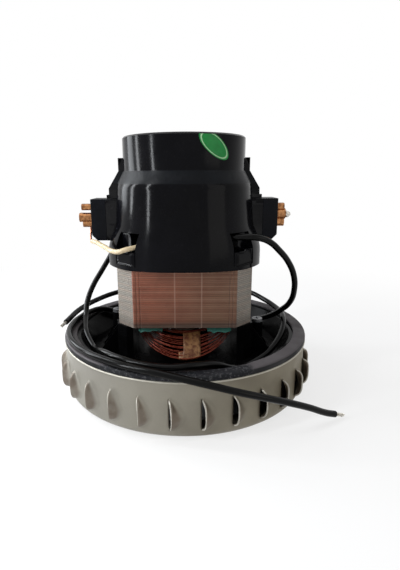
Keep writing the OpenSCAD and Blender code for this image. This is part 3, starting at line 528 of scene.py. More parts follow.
def drum_finish(base):
    """Dull coated sheet with specks, painted light that is cool at the left and warm and darker at the
    right, painted shade on the hoods and a painted highlight along the bead.
    """
    material, tree, shader, place = principled("housing_sheet", metallic=0.45)
    varied = variation(tree, place, base, "776f5f", (0.4, 0.55), 28.0, 1100.0)
    x, y, z = split(tree, place)
    # Painted light: paler and cooler at the left, darker and warmer at the right, where the lamps fall
    # from the left.
    painted_side_light = mixed(tree, ramp(tree, x, mm(-70), mm(70)), "929391", "665e49")
    tone = mixed(tree, 0.45, varied["Color"], painted_side_light)
    spots = tree.nodes.new("ShaderNodeTexVoronoi")
    put(tree, place, spots.inputs["Vector"])
    spots.inputs["Scale"].default_value = 75.0
    mark = ramp(tree, spots.outputs["Distance"], 0.02, 0.06, 0.55, 0.0)
    tone = mixed(tree, mark, tone, "55504a")
    reach = maths(tree, "SQRT", plus(tree, times(tree, x, x), times(tree, y, y)))
    # Painted shade: brown patches on the raised hoods, where they fall away from the light.
    hood = ramp(tree, reach, mm(HOUSING_R + 0.2), mm(HOUSING_R + 1.8), 0.0, 0.75)
    dark_patches = patches(tree, place, 130.0, 4.0, (0.3, 0.6), (0.45, 1.0))
    tone = mixed(tree, times(tree, hood, dark_patches), tone, "5b4c3f")
    # Painted highlight: a paler line along the rolled bead at the drum's top edge.
    painted_bead_highlight = ramp(tree, z, mm(29.4), mm(29.7), 0.0, 0.7)
    connect(tree, shader, mixed(tree, painted_bead_highlight, tone, "bcb8ac"), varied["Roughness"],
            varied["Height"], 0.015)
    return material


def cap_finish(base):
    """Glossy black moulding whose sloping shoulder is duller and greyer."""
    material, tree, shader, place = principled("cap_black", gloss=0.065)
    varied = variation(tree, place, base, "08080c", (0.1, 0.17), 25.0, 900.0)
    film = dusted(tree, place, varied["Color"], "8a8782", 0.02)
    height = split(tree, place)[2]
    slope = times(tree, ramp(tree, height, mm(117.3), mm(118.2)),
                  ramp(tree, height, mm(123.8), mm(124.6), 1.0, 0.0))
    # The sloping shoulder turns a lighter grey in patches, and rougher.
    shoulder_grey_patches = patches(tree, place, 90.0, 4.0, (0.3, 0.7), (0.55, 0.9))
    tone = mixed(tree, times(tree, slope, shoulder_grey_patches), film, "15171a")
    roughness = plus(tree, varied["Roughness"], times(tree, slope, 0.22))
    connect(tree, shader, tone, roughness, varied["Height"], 0.01)
    return material


def seal_finish():
    """Aged rubber, dusty and torn along the front of its upper face, with painted shade on its sides."""
    material, tree, shader, place = principled("seal_rubber", gloss=0.2)
    x, y, z = split(tree, place)
    varied = variation(tree, place, "454143", "524e50", (0.5, 0.75), 60.0, 900.0)
    torn = times(tree, ramp(tree, y, mm(-56), mm(-61)), ramp(tree, x, mm(30), mm(34), 1.0, 0.0))
    crumbs = patches(tree, place, 700.0, 4.0, (0.52, 0.66), roughness=0.7)
    dark = mixed(tree, times(tree, crumbs, 0.55), "121317", "6d6d70")
    # Painted shade: the seal below its upper face is near black.
    painted_side_shade = mixed(tree, ramp(tree, z, mm(32.7), mm(33.2)), "0e0e10", varied["Color"])
    connect(tree, shader, mixed(tree, torn, painted_side_shade, dark), varied["Roughness"],
            times(tree, crumbs, torn), 0.2)
    return material


def tape_finish():
    """Tan tape with dark red soaked patches and woven grain."""
    material, tree, shader, place = principled("coil_tape", gloss=0.3)
    dark_patches = patches(tree, place, 420.0, 4.0, (0.42, 0.6), roughness=0.7)
    pale = mixed(tree, patches(tree, place, 160.0, 3.0, (0.4, 0.62)), "926a43", "7a5030")
    tone = mixed(tree, times(tree, dark_patches, 0.8), pale, "4c2013")
    connect(tree, shader, tone, ramp(tree, dark_patches, 0, 1, 0.35, 0.6), dark_patches, 0.05)
    return material


def label_finish(base):
    """Green glossy paper with a pale line near its rim; its middle is left bare."""
    material, tree, shader, place = principled("label_green", gloss=0.2)
    rim = tree.nodes.new("ShaderNodeAttribute")
    rim.attribute_name = "rim"
    worn = patches(tree, place, 300.0, 3.0, (0.3, 0.7), (0.0, 0.5))
    tone = mixed(tree, rim.outputs["Fac"], mixed(tree, worn, rgba(base), "1c8a40"), "b5dcb0")
    connect(tree, shader, tone, patches(tree, place, 200.0, 3.0, (0.3, 0.7), (0.3, 0.4)))
    return material


# Plain finishes: name, base and second colour, roughness from and to, scales of the clouds and
# the grain, size of the bumps, and other values. None takes its colour from the panel.
PLAIN = {
    "bowl": ("bowl_black", "030303", "070708", (0.14, 0.3), 40.0, 800.0, 0.02,
             {"gloss": 0.03, "dust": 0.02}),
    "holder": ("holder_black", "08090d", "0d0f15", (0.35, 0.5), 80.0, 1200.0, 0.03,
               {"gloss": 0.08, "dust": 0.02}),
    "lead": ("lead_black", "030303", "070707", (0.14, 0.22), 50.0, 600.0, 0.02,
             {"gloss": 0.1, "dust": 0.01, "dust_colour": "77746e"}),
    "pale_lead": ("lead_cream", "cfbd9e", "baa680", (0.4, 0.55), 200.0, 1500.0, 0.02,
                  {"dust": 0.1, "dust_colour": "7d6f57"}),
    "wire": ("enamelled_wire", None, "8e4430", (0.25, 0.4), 500.0, 1500.0, 0.01,
             {"metallic": 0.35, "gloss": 0.25}),
    "winding": ("armature_wire", "7d3322", "5b2219", (0.3, 0.45), 700.0, 2500.0, 0.15,
                {"metallic": 0.4, "coat": 0.4}),
    # The brass's dark second colour, in large clouds, is painted shade and reflection that give the
    # polished metal its contrast.
    "brass": ("brass", None, "5e3820", (0.2, 0.38), 420.0, 1200.0, 0.02, {"metallic": 0.9}),
    "solder": ("solder", "d6d2ca", "a8a49b", (0.2, 0.4), 700.0, 1400.0, 0.08, {"metallic": 0.85}),
    "paper": ("slot_paper", None, "35796c", (0.6, 0.8), 200.0, 900.0, 0.04, {}),
    "steel": ("bright_steel", "b4b5b6", "93959a", (0.2, 0.35), 120.0, 1600.0, 0.01,
              {"metallic": 0.95}),
    "zinc": ("screw_zinc", "77787a", "4f5052", (0.35, 0.5), 400.0, 1600.0, 0.02,
             {"metallic": 0.8}),
    "spring": ("spring_steel", "8d8f93", "6d6f74", (0.28, 0.4), 150.0, 1400.0, 0.01,
               {"metallic": 0.95}),
    # The cut edges are pale: bare cut metal, lightened further as a painted highlight along the louvre
    # lips.
    "cut_edge_highlight": ("cut_sheet_edge", "b4b0a5", "98948a", (0.4, 0.55), 300.0, 1500.0, 0.02,
                 {"metallic": 0.3}),
    "sheets": ("armature_sheets", "7c7d80", "5d5c5c", (0.35, 0.5), 150.0, 1500.0, 0.03,
               {"metallic": 0.8}),
    "copper": ("commutator_copper", "b8734a", "8f5436", (0.25, 0.42), 250.0, 1800.0, 0.02,
               {"metallic": 0.95}),
    "carbon": ("carbon", "2c2c2e", "3a3a3c", (0.5, 0.65), 300.0, 2500.0, 0.04, {"metallic": 0.2}),
    "phenolic": ("phenolic", "4a2c1c", "5e3b26", (0.4, 0.55), 120.0, 1500.0, 0.03, {}),
    "sleeve": ("sleeve_plastic", "d2ccbc", "bdb6a4", (0.4, 0.5), 90.0, 1200.0, 0.02, {}),
    "aluminium": ("impeller_sheet", "b9bbbd", "a2a4a7", (0.3, 0.42), 50.0, 1300.0, 0.02,
                  {"metallic": 0.9}),
}

MATERIALS = {}


def make_materials(colours):
    """All finishes, made once and kept by name."""
    GROUPS.update(variation=variation_group(), dust=dust_group(), lines=lines_group())
    MATERIALS.update(
        housing=drum_finish(colours.housing), seal=seal_finish(), stack=stack_finish(),
        tape=tape_finish(), label=label_finish(colours.label), cap=cap_finish(colours.cap),
    )
    for slot, (name, base, *values, others) in PLAIN.items():
        base = base or getattr(colours, slot)
        MATERIALS[slot] = plain_finish(name, base, *values, **others)


# Making and finishing pieces


def give_finish(data, material):
    """Makes one finish the only one of a mesh or curve."""
    data.materials.clear()
    data.materials.append(MATERIALS[material])


def dress(piece, material, body="motor_frame", replaces=()):
    """Links a piece, gives it its finish and ties it to its body."""
    bpy.context.scene.collection.objects.link(piece)
    give_finish(piece.data, material)
    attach(piece, body)
    if replaces:
        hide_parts(*replaces)
    return piece


def finish_piece(name, bm, material, body="motor_frame", replaces=(), sharp=40.0):
    """Turns a bmesh into a finished piece. Edges over the sharp angle, in degrees, stay hard."""
    mesh = bpy.data.meshes.new(name)
    bm.to_mesh(mesh)
    bm.free()
    mesh.shade_smooth()
    mesh.set_sharp_from_angle(angle=math.radians(sharp))
    return dress(bpy.data.objects.new(name, mesh), material, body, replaces)


def thicken(piece, thickness):
    """Gives a sheet its thickness, inwards."""
    wall = piece.modifiers.new("thickness", "SOLIDIFY")
    wall.thickness = mm(thickness)
    wall.offset = -1.0
    return wall


def softened_copy(node, name, width, material, body="motor_frame", angle=28.0,
                  segments=2, reshape=None, normal_at=None):
    """Copies a solid and bevels its edges over an angle in degrees, to a width in metres."""
    bm = bmesh.new()
    bm.from_mesh(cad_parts[node].data)
    bmesh.ops.remove_doubles(bm, verts=bm.verts, dist=mm(0.003))
    bmesh.ops.dissolve_limit(bm, angle_limit=math.radians(0.5), verts=bm.verts, edges=bm.edges,
                             use_dissolve_boundaries=False)
    if reshape:
        reshape(bm)
    limit = math.radians(angle)
    hard = [e for e in bm.edges if len(e.link_faces) == 2 and e.calc_face_angle(0.0) > limit]
    bmesh.ops.bevel(bm, geom=hard, offset=width, affect="EDGES", segments=segments,
                    profile=0.5, material=-1, clamp_overlap=True)
    piece = finish_piece(name, bm, material, body, (node,), sharp=50.0)
    if normal_at:
        true_normals(piece.data, normal_at)
    else:
        piece.modifiers.new("weighted_normals", "WEIGHTED_NORMAL").keep_sharp = True


def true_normals(mesh, normal_at):
    """Shades a mesh by the surface it was cut from, where normal_at knows that surface."""
    normals = [corner.vector.copy() for corner in mesh.corner_normals]
    for face in mesh.polygons:
        for corner in face.loop_indices:
            known = normal_at(mesh.vertices[mesh.loops[corner].vertex_index].co)
            if known and known.dot(face.normal) > 0.75:
                normals[corner] = known
    mesh.normals_split_custom_set(normals)


def revolve(bm, outline, steps):
    """Spins a closed outline of (radius, height) once round Z."""
    verts = [bm.verts.new(mm((r, 0.0, z))) for r, z in outline]
    edges = [bm.edges.new(pair) for pair in zip(verts, verts[1:] + verts[:1])]
    bmesh.ops.spin(bm, geom=verts + edges, cent=(0, 0, 0), axis=(0, 0, 1),
                   angle=math.tau, steps=steps, use_merge=True)
    bmesh.ops.recalc_face_normals(bm, faces=bm.faces)


def unit_grid(bm, columns, rows):
    """Adds a flat grid and gives each vertex with its shares u and v of the grid's two sides."""
    made = bmesh.ops.create_grid(bm, x_segments=columns, y_segments=rows, size=0.5)["verts"]
    return [(vert, vert.co.x + 0.5, vert.co.y + 0.5) for vert in made]


def box(bm, low, high):
    """Adds a box between two corners and gives its vertices."""
    made = bmesh.ops.create_cube(bm, size=1.0)["verts"]
    for vert in made:
        share = vert.co + Vector((0.5, 0.5, 0.5))
        vert.co = mm(Vector(low) + (Vector(high) - Vector(low)) * share)
    return made


def half_turn(bm):
    """Turns everything half way round the motor's axis."""
    bmesh.ops.rotate(bm, verts=bm.verts, cent=(0, 0, 0), matrix=Matrix.Rotation(math.pi, 3, "Z"))


def round_section(name, radius, sides):
    """An empty curve with a round section and closed ends, for a radius in metres."""
    data = bpy.data.curves.new(name, "CURVE")
    data.dimensions = "3D"
    data.bevel_depth = radius
    data.bevel_resolution = sides
    data.use_fill_caps = True
    return data


def smooth_curve(name, points, radius, sides=4):
    """A round wire along points, as one open spline with soft bends."""
    data = round_section(name, mm(radius), sides)
    data.resolution_u = 8
    spline = data.splines.new("BEZIER")
    spline.bezier_points.add(len(points) - 1)
    for knot, point in zip(spline.bezier_points, points):
        knot.co = mm(point)
        knot.handle_left_type = "AUTO"
        knot.handle_right_type = "AUTO"
    return bpy.data.objects.new(name, data)


def wire_mesh(name, points, radius):
    """A mesh tube along closely spaced points in metres."""
    data = round_section(name, radius, 1)
    spline = data.splines.new("POLY")
    spline.points.add(len(points) - 1)
    for knot, point in zip(spline.points, points):
        knot.co = (*point, 1.0)
    shape = bpy.data.objects.new(name + "_line", data)
    bpy.context.scene.collection.objects.link(shape)
    drawn = shape.evaluated_get(bpy.context.evaluated_depsgraph_get())
    mesh = bpy.data.meshes.new_from_object(drawn)
    bpy.data.objects.remove(shape)
    mesh.name = name
    mesh.shade_smooth()
    return mesh


def curve_length(points):
    """Length of the smooth curve that runs through points, in metres."""
    probe = smooth_curve("probe", points, 0.0)
    length = probe.data.splines[0].calc_length()
    bpy.data.curves.remove(probe.data)
    return length


class MOTOR_OT_finishes(bpy.types.Operator):
    """Makes every finish from the colours in the panel."""

    bl_idname = "motor.finishes"
    bl_label = "Finishes"

    def execute(self, context):
        make_materials(context.scene.motor_colours)
        return {"FINISHED"}


# Leads


def bare_strands(name, end, along):
    """Tinned strands that go on from a lead's end, one in the middle and the rest round it."""
    bm = bmesh.new()
    side = along.orthogonal().normalized()
    for k in range(OUTER_STRANDS + 1):
        turn = Matrix.Rotation(k * math.tau / OUTER_STRANDS, 3, along)
        out = Vector() if k == OUTER_STRANDS else (turn @ side) * mm(STRAND_SPREAD)
        reach = TIP_LENGTH - 0.5 * (k % 3)
        path = []
        for j in range(STRAND_STEPS + 1):
            t = j / STRAND_STEPS
            twist = Matrix.Rotation(STRAND_TWIST * t, 3, along)
            path.append(end + along * mm(reach) * t + (twist @ out) * (1 + 0.15 * t))
        bm.from_mesh(wire_mesh(name + "_strand", path, mm(STRAND_R)))
    return bm


def lead(name, points, node, tip_node):
    """One loose black lead with its bare, tinned strands."""
    piece = dress(smooth_curve(name, points, LEAD_DIAMETER / 2, 5), "lead",
                  replaces=(node,))
    end = mm(points[-1])
    strands = bare_strands(name, end, (end - mm(points[-2])).normalized())
    tip = finish_piece(name + "_strands", strands, "solder", replaces=(tip_node,))
    curve_length(points)


class MOTOR_OT_leads(bpy.types.Operator):
    """Lays the two loose black leads along their routes."""

    bl_idname = "motor.leads"
    bl_label = "Black leads"

    def execute(self, context):
        lead("lead_right", RIGHT_LEAD, "black_lead_right", "lead_tip_right")
        lead("lead_left", LEFT_LEAD, "black_lead_left", "lead_tip_left")
        return {"FINISHED"}


class MOTOR_OT_inner_lead(bpy.types.Operator):
    """Runs the pale lead and its bare wire from the left terminal into the cap."""

    bl_idname = "motor.inner_lead"
    bl_label = "Pale inner lead"

    def execute(self, context):
        sleeve = smooth_curve("pale_sleeve", INNER_LEAD[BARE_WIRE_POINTS - 1:],
                              INNER_DIAMETER / 2, 4)
        dress(sleeve, "pale_lead", replaces=("inner_lead",))
        bare = smooth_curve("terminal_wire", INNER_LEAD[:BARE_WIRE_POINTS + 1], BARE_WIRE_R, 3)
        dress(bare, "copper")
        return {"FINISHED"}


# Fan housing and seal


def louvre_lift(along, height):
    """How far the sheet stands out, at a distance along the wall and above the louvre's middle."""
    lip = LOUVRE_DEPTH * math.sqrt(max(0.0, 1 - abs(height / LOUVRE_HALF) ** LIP_POWER))
    t = (height / LOUVRE_HALF + 1) / 2
    if t < HOOD_WIDEST:
        share = math.sqrt(max(0.0, 1 - (1 - t / HOOD_WIDEST) ** 2))
    else:
        share = max(0.0, (1 - t) / (1 - HOOD_WIDEST)) ** NARROWING_POWER
    width = max(HOOD_LEAST_WIDTH, HOOD_WIDTH * share)
    return lip * max(0.0, 1 - along / width) ** FALL_POWER


def drum_outline():
    """Points of the drum's outside, and the number of the first one on its wall."""
    corner = [(HOUSING_R - DRUM_CORNER_R + DRUM_CORNER_R * math.sin(math.radians(a)),
               DRUM_CORNER_R - DRUM_CORNER_R * math.cos(math.radians(a))) for a in range(0, 90, 9)]
    wall = [(HOUSING_R, WALL_LOW + (WALL_HIGH - WALL_LOW) * k / WALL_ROWS)
            for k in range(WALL_ROWS + 1)]
    return DRUM_BOTTOM + corner + wall + DRUM_BEAD, len(DRUM_BOTTOM) + len(corner)


def press_drum(bm):
    """Rolls a grid into the drum, slits it at every louvre and lifts the hoods."""
    outline, first = drum_outline()
    around, up = LOUVRES * LOUVRE_COLUMNS, len(outline) - 1
    column_of = bm.verts.layers.int.new("column")
    row_of = bm.verts.layers.int.new("row")
    for vert, u, v in unit_grid(bm, around, up):
        vert[column_of] = round(u * around)
        vert[row_of] = round(v * up)

    def in_slit(vert):
        """Whether a vertex lies on the line where a louvre is slit open."""
        if vert[column_of] % LOUVRE_COLUMNS or vert[row_of] < first:
            return False
        return abs(outline[vert[row_of]][1] - LOUVRE_Z) < LOUVRE_HALF + SLIT_MARGIN

    slits = [e for e in bm.edges if all(in_slit(v) for v in e.verts)
             and e.verts[0][column_of] == e.verts[1][column_of]]
    bmesh.ops.split_edges(bm, edges=slits)
    behind = {v for v in bm.verts
              if all(f.calc_center_median().x < v.co.x for f in v.link_faces)}
    start = -math.pi / 2 + math.pi / LOUVRES
    arc = math.tau * HOUSING_R / around
    for vert in bm.verts:
        column = vert[column_of]
        radius, height = outline[vert[row_of]]
        lifted = column % LOUVRE_COLUMNS or (in_slit(vert) and vert not in behind)
        angle = start + math.tau * column / around
        if vert[row_of] >= first and radius == HOUSING_R and lifted:
            lift = louvre_lift(column % LOUVRE_COLUMNS * arc, height - LOUVRE_Z)
            radius += lift
            angle += LIP_SETBACK * lift / LOUVRE_DEPTH / HOUSING_R
        vert.co = mm((radius * math.cos(angle), radius * math.sin(angle), height))
    bmesh.ops.remove_doubles(bm, verts=bm.verts, dist=mm(0.02))
    bmesh.ops.recalc_face_normals(bm, faces=bm.faces)
    if sum(f.normal.dot(f.calc_center_median().normalized()) for f in bm.faces) < 0:
        bmesh.ops.reverse_faces(bm, faces=bm.faces)


class MOTOR_OT_fan_housing(bpy.types.Operator):
    """Presses the drum out of one sheet, with a slit and a raised hood for each louvre."""

    bl_idname = "motor.fan_housing"
    bl_label = "Fan housing"

    def execute(self, context):
        bm = bmesh.new()
        press_drum(bm)
        piece = finish_piece("drum", bm, "housing",
                             replaces=("fan_housing",), sharp=60.0)
        # The sheet's cut edges take the pale finish, partly bare metal and partly a painted highlight on
        # the lips.
        piece.data.materials.append(MATERIALS["cut_edge_highlight"])
        thicken(piece, SHEET).material_offset_rim = 1
        return {"FINISHED"}


class MOTOR_OT_seal_ring(bpy.types.Operator):
    """Spins the seal's outline, ripples its upper face and sinks the torn stretch at the front."""

    bl_idname = "motor.seal_ring"
    bl_label = "Seal ring"

    def execute(self, context):
        bm = bmesh.new()
        revolve(bm, SEAL_OUTLINE, 320)
        for vert in bm.verts:
            if vert.co.z > mm(SEAL_FACE_LOW):
                ripple = noise.noise(vert.co * 320) * 0.07 + noise.noise(vert.co * 60) * 0.05
                angle = math.degrees(math.atan2(vert.co.y, vert.co.x))
                torn = step(*TORN_RIGHT, angle) * step(*TORN_LEFT, angle) * TORN_DEPTH
                vert.co.z = min(vert.co.z + mm(ripple - 0.1 - torn), mm(SEAL_TOP))
        finish_piece("seal", bm, "seal", replaces=("seal_ring",), sharp=60.0)
        return {"FINISHED"}


# Brackets


def skirt_reach(angle):
    """Distance from the axis to the skirt's outline, at an angle in radians."""
    rise = abs(math.sin(angle))
    arc = math.sqrt((FRONT_SHIFT * rise) ** 2 + FRONT_CURVE_R ** 2 - FRONT_SHIFT ** 2)
    side = SKIRT_HALF / max(abs(math.cos(angle)), 0.01)
    return min(SKIRT_R, side, arc - FRONT_SHIFT * rise)


def hard_barrel(height):
    """Radius of the turned part of the cap at a height."""
    for (low, wide), (high, narrow) in zip(BARREL, BARREL[1:]):
        if height <= high:
            return wide + (narrow - wide) * max(0.0, (height - low) / (high - low))
    return BARREL[-1][1]


def barrel_reach(height):
    """Radius of the turned part with the bend of its flare eased."""
    if height < BARREL_EASED:
        return sum(hard_barrel(height + 1.5 * k) for k in (-1, 0, 1)) / 3
    return hard_barrel(height)


def cap_reach(angle, height):
    """Radius of the cap's outside, at an angle in radians, with the barrel eased into the skirt."""
    skirt, barrel = skirt_reach(angle), barrel_reach(height)
    near = max(0.0, 1 - abs(skirt - barrel) / EASE)
    return min(skirt, barrel) - near ** 3 * EASE / 6


def cap_normal(place):
    """Outward direction of the cap's outside at a point, or None where the point is not on it.

    The front is shaded as a plain barrel, so that reflections run straight down it.
    """
    angle, height = math.atan2(place.y, place.x), place.z * 1000
    reach = cap_reach(angle, height)
    if abs(place.to_2d().length * 1000 - reach) > 0.15:
        return None
    aside, above = 0.02, 0.35
    turn = cap_reach(angle + aside, height) - cap_reach(angle - aside, height)
    rise = cap_reach(angle, height + above) - cap_reach(angle, height - above)
    turn, rise = turn / (2 * aside), rise / (2 * above)
    rise *= FLARE_SHARE if height < FLARE_BEND else 1.0
    front = step(FRONT_FADED_X, FRONT_PLAIN_X, abs(place.x) * 1000)
    front *= step(FRONT_FADED_Z, FRONT_PLAIN_Z, height)
    back = 1 - front
    local = Vector((1, -turn / reach * back, FRONT_LEAN * front - rise * back)).normalized()
    return Matrix.Rotation(angle, 3, "Z") @ local


def ease_barrel(bm):
    """Lets the barrel run into the skirt in one soft curve, with no crease between them."""
    for height in range(FLARE_LOW + 4, FLARE_HIGH, 2):
        bmesh.ops.bisect_plane(bm, geom=bm.verts[:] + bm.edges[:] + bm.faces[:],
                               plane_co=mm((0, 0, height)), plane_no=(0, 0, 1))
    for turn in range(-56, 57, 4):
        normal = (math.cos(math.radians(turn)), math.sin(math.radians(turn)), 0)
        near = [f for f in bm.faces
                if mm(FLARE_LOW) < f.calc_center_median().z < mm(FLARE_HIGH)]
        around = {e for f in near for e in f.edges} | {v for f in near for v in f.verts}
        bmesh.ops.bisect_plane(bm, geom=near + list(around), plane_co=(0, 0, 0), plane_no=normal)
    for vert in bm.verts:
        height = vert.co.z * 1000
        if FLARE_LOW < height < FLARE_HIGH:
            reach = vert.co.to_2d().length * 1000
            angle = math.atan2(vert.co.y, vert.co.x)
            if abs(reach - min(skirt_reach(angle), hard_barrel(height))) < 0.06:
                vert.co.xy *= cap_reach(angle, height) / reach


class MOTOR_OT_brackets(bpy.types.Operator):
    """Rounds the edges of the bowl, the cap and the brush holders."""

    bl_idname = "motor.brackets"
    bl_label = "Brackets and holders"

    def execute(self, context):
        soft = context.scene.motor_sizes.edge_width
        softened_copy("lower_bracket", "bowl", soft, "bowl")
        softened_copy("upper_bracket", "cap", soft, "cap", angle=20.0,
                      reshape=ease_barrel, normal_at=cap_normal)
        for side in ("right", "left"):
            softened_copy(f"brush_holder_{side}", f"holder_{side}", soft, "holder")
        return {"FINISHED"}


# Stator and coils


class MOTOR_OT_stator(bpy.types.Operator):
    """Gives the lamination stack its edges and its insulating paper."""

    bl_idname = "motor.stator"
    bl_label = "Stator"

    def execute(self, context):
        softened_copy("stator_core", "stack", mm(STACK_EDGE), "stack",
                      segments=1)
        give_finish(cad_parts["slot_liners"].data, "paper")
        bm = bmesh.new()
        for side in (1, -1):
            for left, right, low in CUFFS:
                for vert, u, v in unit_grid(bm, 12, 6):
                    ragged = noise.noise(Vector((u * 6, left, side * 3))) * CUFF_RAGGED
                    x = left + (right - left) * u
                    y = -CUFF_Y - CUFF_FLARE * (1 - v) ** 0.7 + CUFF_HOLLOW * (2 * u - 1) ** 2
                    z = low + ragged * (1 - v) + (CUFF_TOP - low) * v
                    vert.co = mm((x * side, y * side, z))
        bmesh.ops.recalc_face_normals(bm, faces=bm.faces)
        thicken(finish_piece("paper_cuffs", bm, "paper", sharp=80.0), PAPER)
        return {"FINISHED"}


def row_place(places, row):
    """Place of a row, which need not be a whole number."""
    first, pitch = places
    return first + pitch * row


def coil_point(row, shift, f, sag):
    """Point on a turn of the front coil, f of the way round it.

    A row lies further out from the stack than the one before, and a shift is across the rows.
    """
    sign = 1 if f >= 0.5 else -1
    base = COIL_TOP if f >= 0.5 else COIL_BOTTOM
    g = f % 0.5
    slot_x, slot_y = SLOT_X + shift * 0.9, -row_place(ROW_IN_SLOT, row)
    if g >= ACROSS_SHARE:
        down = (COIL_TOP - COIL_BOTTOM) * (g - ACROSS_SHARE) / SLOT_SHARE
        return -sign * slot_x, slot_y, base - sign * down
    angle = math.pi * g / ACROSS_SHARE
    s = math.sin(angle)
    end_y = -(row_place(ROW_AT_END, row) + LAYER_OUT * shift + SAG_SHARE * sag)
    z = base + sign * (row_place(ROW_RISE, row) - LAYER_UP * shift + SAG_SHARE * sag) * s
    slot_x += END_WIDENING * min(1.0, 4 * s)
    return sign * slot_x * math.cos(angle), slot_y + (end_y - slot_y) * s ** 2.2, z


def coil_route(settings, side):
    """Points of one winding: many turns up and down two slots, laid in loose layers."""
    layers = settings.coil_layers
    per_layer = settings.coil_turns / layers
    gap = settings.layer_gap * 1000
    points = []
    for i in range(settings.coil_turns * TURN_STEPS):
        u = i / TURN_STEPS
        layer = min(layers - 1, int(u / per_layer))
        t = u / per_layer - layer
        row = COIL_ROWS * (t if layer % 2 == 0 else 1 - t)
        half = Vector((math.floor(2 * u) * 3.7, 1.5 + layer, side * 9.1))
        sag = noise.noise(half) * SAG
        lean = noise.noise(half + Vector((0, 20, 0))) * LEAN
        shift = (layer - (layers - 1) / 2) * gap + lean
        x, y, z = coil_point(row, shift, u % 1.0, sag)
        points.append(mm((x * side, y * side, z)))
    return points


def tape_band(bm):
    """A band drawn tight round the lower end of the front coil."""
    ring = bmesh.ops.create_circle(bm, segments=28, radius=1.0)["verts"]
    angles = [math.atan2(v.co.y, v.co.x) for v in ring]
    rows, edges = [ring], list({e for v in ring for e in v.link_edges})
    for _ in range(10):
        made = bmesh.ops.extrude_edge_only(bm, edges=edges)["geom"]
        edges = [g for g in made if isinstance(g, bmesh.types.BMEdge)
                 and all(len(v.link_edges) <= 3 for v in g.verts)]
        fresh = {v for e in edges for v in e.verts}
        rows.append([next(e.other_vert(v) for e in v.link_edges if e.other_vert(v) in fresh)
                     for v in rows[-1]])
    for k, row in enumerate(rows):
        x = TAPE_LEFT + (TAPE_RIGHT - TAPE_LEFT) * k / (len(rows) - 1)
        share = ACROSS_SHARE * (math.acos(-x / SLOT_X) / math.pi)
        for vert, angle in zip(row, angles):
            along = max(-1.0, min(1.0, 1.6 * math.cos(angle)))
            turn_row = TAPE_TOP + (COIL_ROWS - TAPE_TOP) * (along + 1) / 2
            centre = Vector(coil_point(turn_row, 0.0, share, 0.0))
            lean = LAYER_UP * math.cos(angle) * TAPE_FLATNESS
            out = math.sin(angle)
            away = Vector((0, lean - LAYER_OUT * out, LAYER_UP * out - lean))
            place = Vector((x, centre.y, centre.z)) + away * TAPE_HALF
            place += noise.noise_vector(place * 0.4) * TAPE_UNEVEN
            vert.co = mm(place)


class MOTOR_OT_coils(bpy.types.Operator):
    """Winds both field coils and wraps their lower ends in tape."""

    bl_idname = "motor.coils"
    bl_label = "Field coils"

    def execute(self, context):
        settings = context.scene.motor_sizes
        for side, word in ((1, "front"), (-1, "rear")):
            mesh = wire_mesh(f"winding_{word}", coil_route(settings, side),
                             settings.wire_diameter / 2)
            dress(bpy.data.objects.new(f"winding_{word}", mesh), "wire",
                  replaces=(f"field_coil_{word}",))
            self.wrap(word, side)
        return {"FINISHED"}

    def wrap(self, word, side):
        """Tape round the lower end of a coil, with a loose flap at its corner."""
        bm = bmesh.new()
        tape_band(bm)
        for vert, u, v in unit_grid(bm, 4, 4):
            vert.co = mm((-3.6 + 4.6 * u, -32.9 - u + 2.6 * v, 24.1 + 3.9 * v + 0.5 * u * u))
        if side < 0:
            half_turn(bm)
        bmesh.ops.recalc_face_normals(bm, faces=bm.faces)
        thicken(finish_piece(f"tape_{word}", bm, "tape",
                             replaces=(f"coil_tape_{word}",), sharp=70.0), TAPE)


# Brush gear


def rolled_fold(bm, low, high, end, wide):
    """One rolled fold of a terminal: a rounded bar along X with a recessed end."""
    made = box(bm, (FOLD_START, -wide / 2, low), (end, wide / 2, high))
    faces = {f for v in made for f in v.link_faces}
    sides = {e for f in faces for e in f.edges
             if abs(e.verts[0].co.x - e.verts[1].co.x) > mm(1)}
    bmesh.ops.bevel(bm, geom=list(sides), offset=mm(min(high - low, wide) * FOLD_ROUNDING),
                    affect="EDGES", segments=6, profile=0.5, material=-1)
    tips = [f for f in bm.faces if f.normal.x > 0.9
            and abs(f.calc_center_median().x - mm(end)) < mm(0.05)
            and mm(low) < f.calc_center_median().z < mm(high)]
    bmesh.ops.inset_region(bm, faces=tips, thickness=mm(FOLD_RIM), depth=0.0)
    bmesh.ops.translate(bm, verts=list({v for f in tips for v in f.verts}),
                        vec=mm((-FOLD_RECESS, 0, 0)))


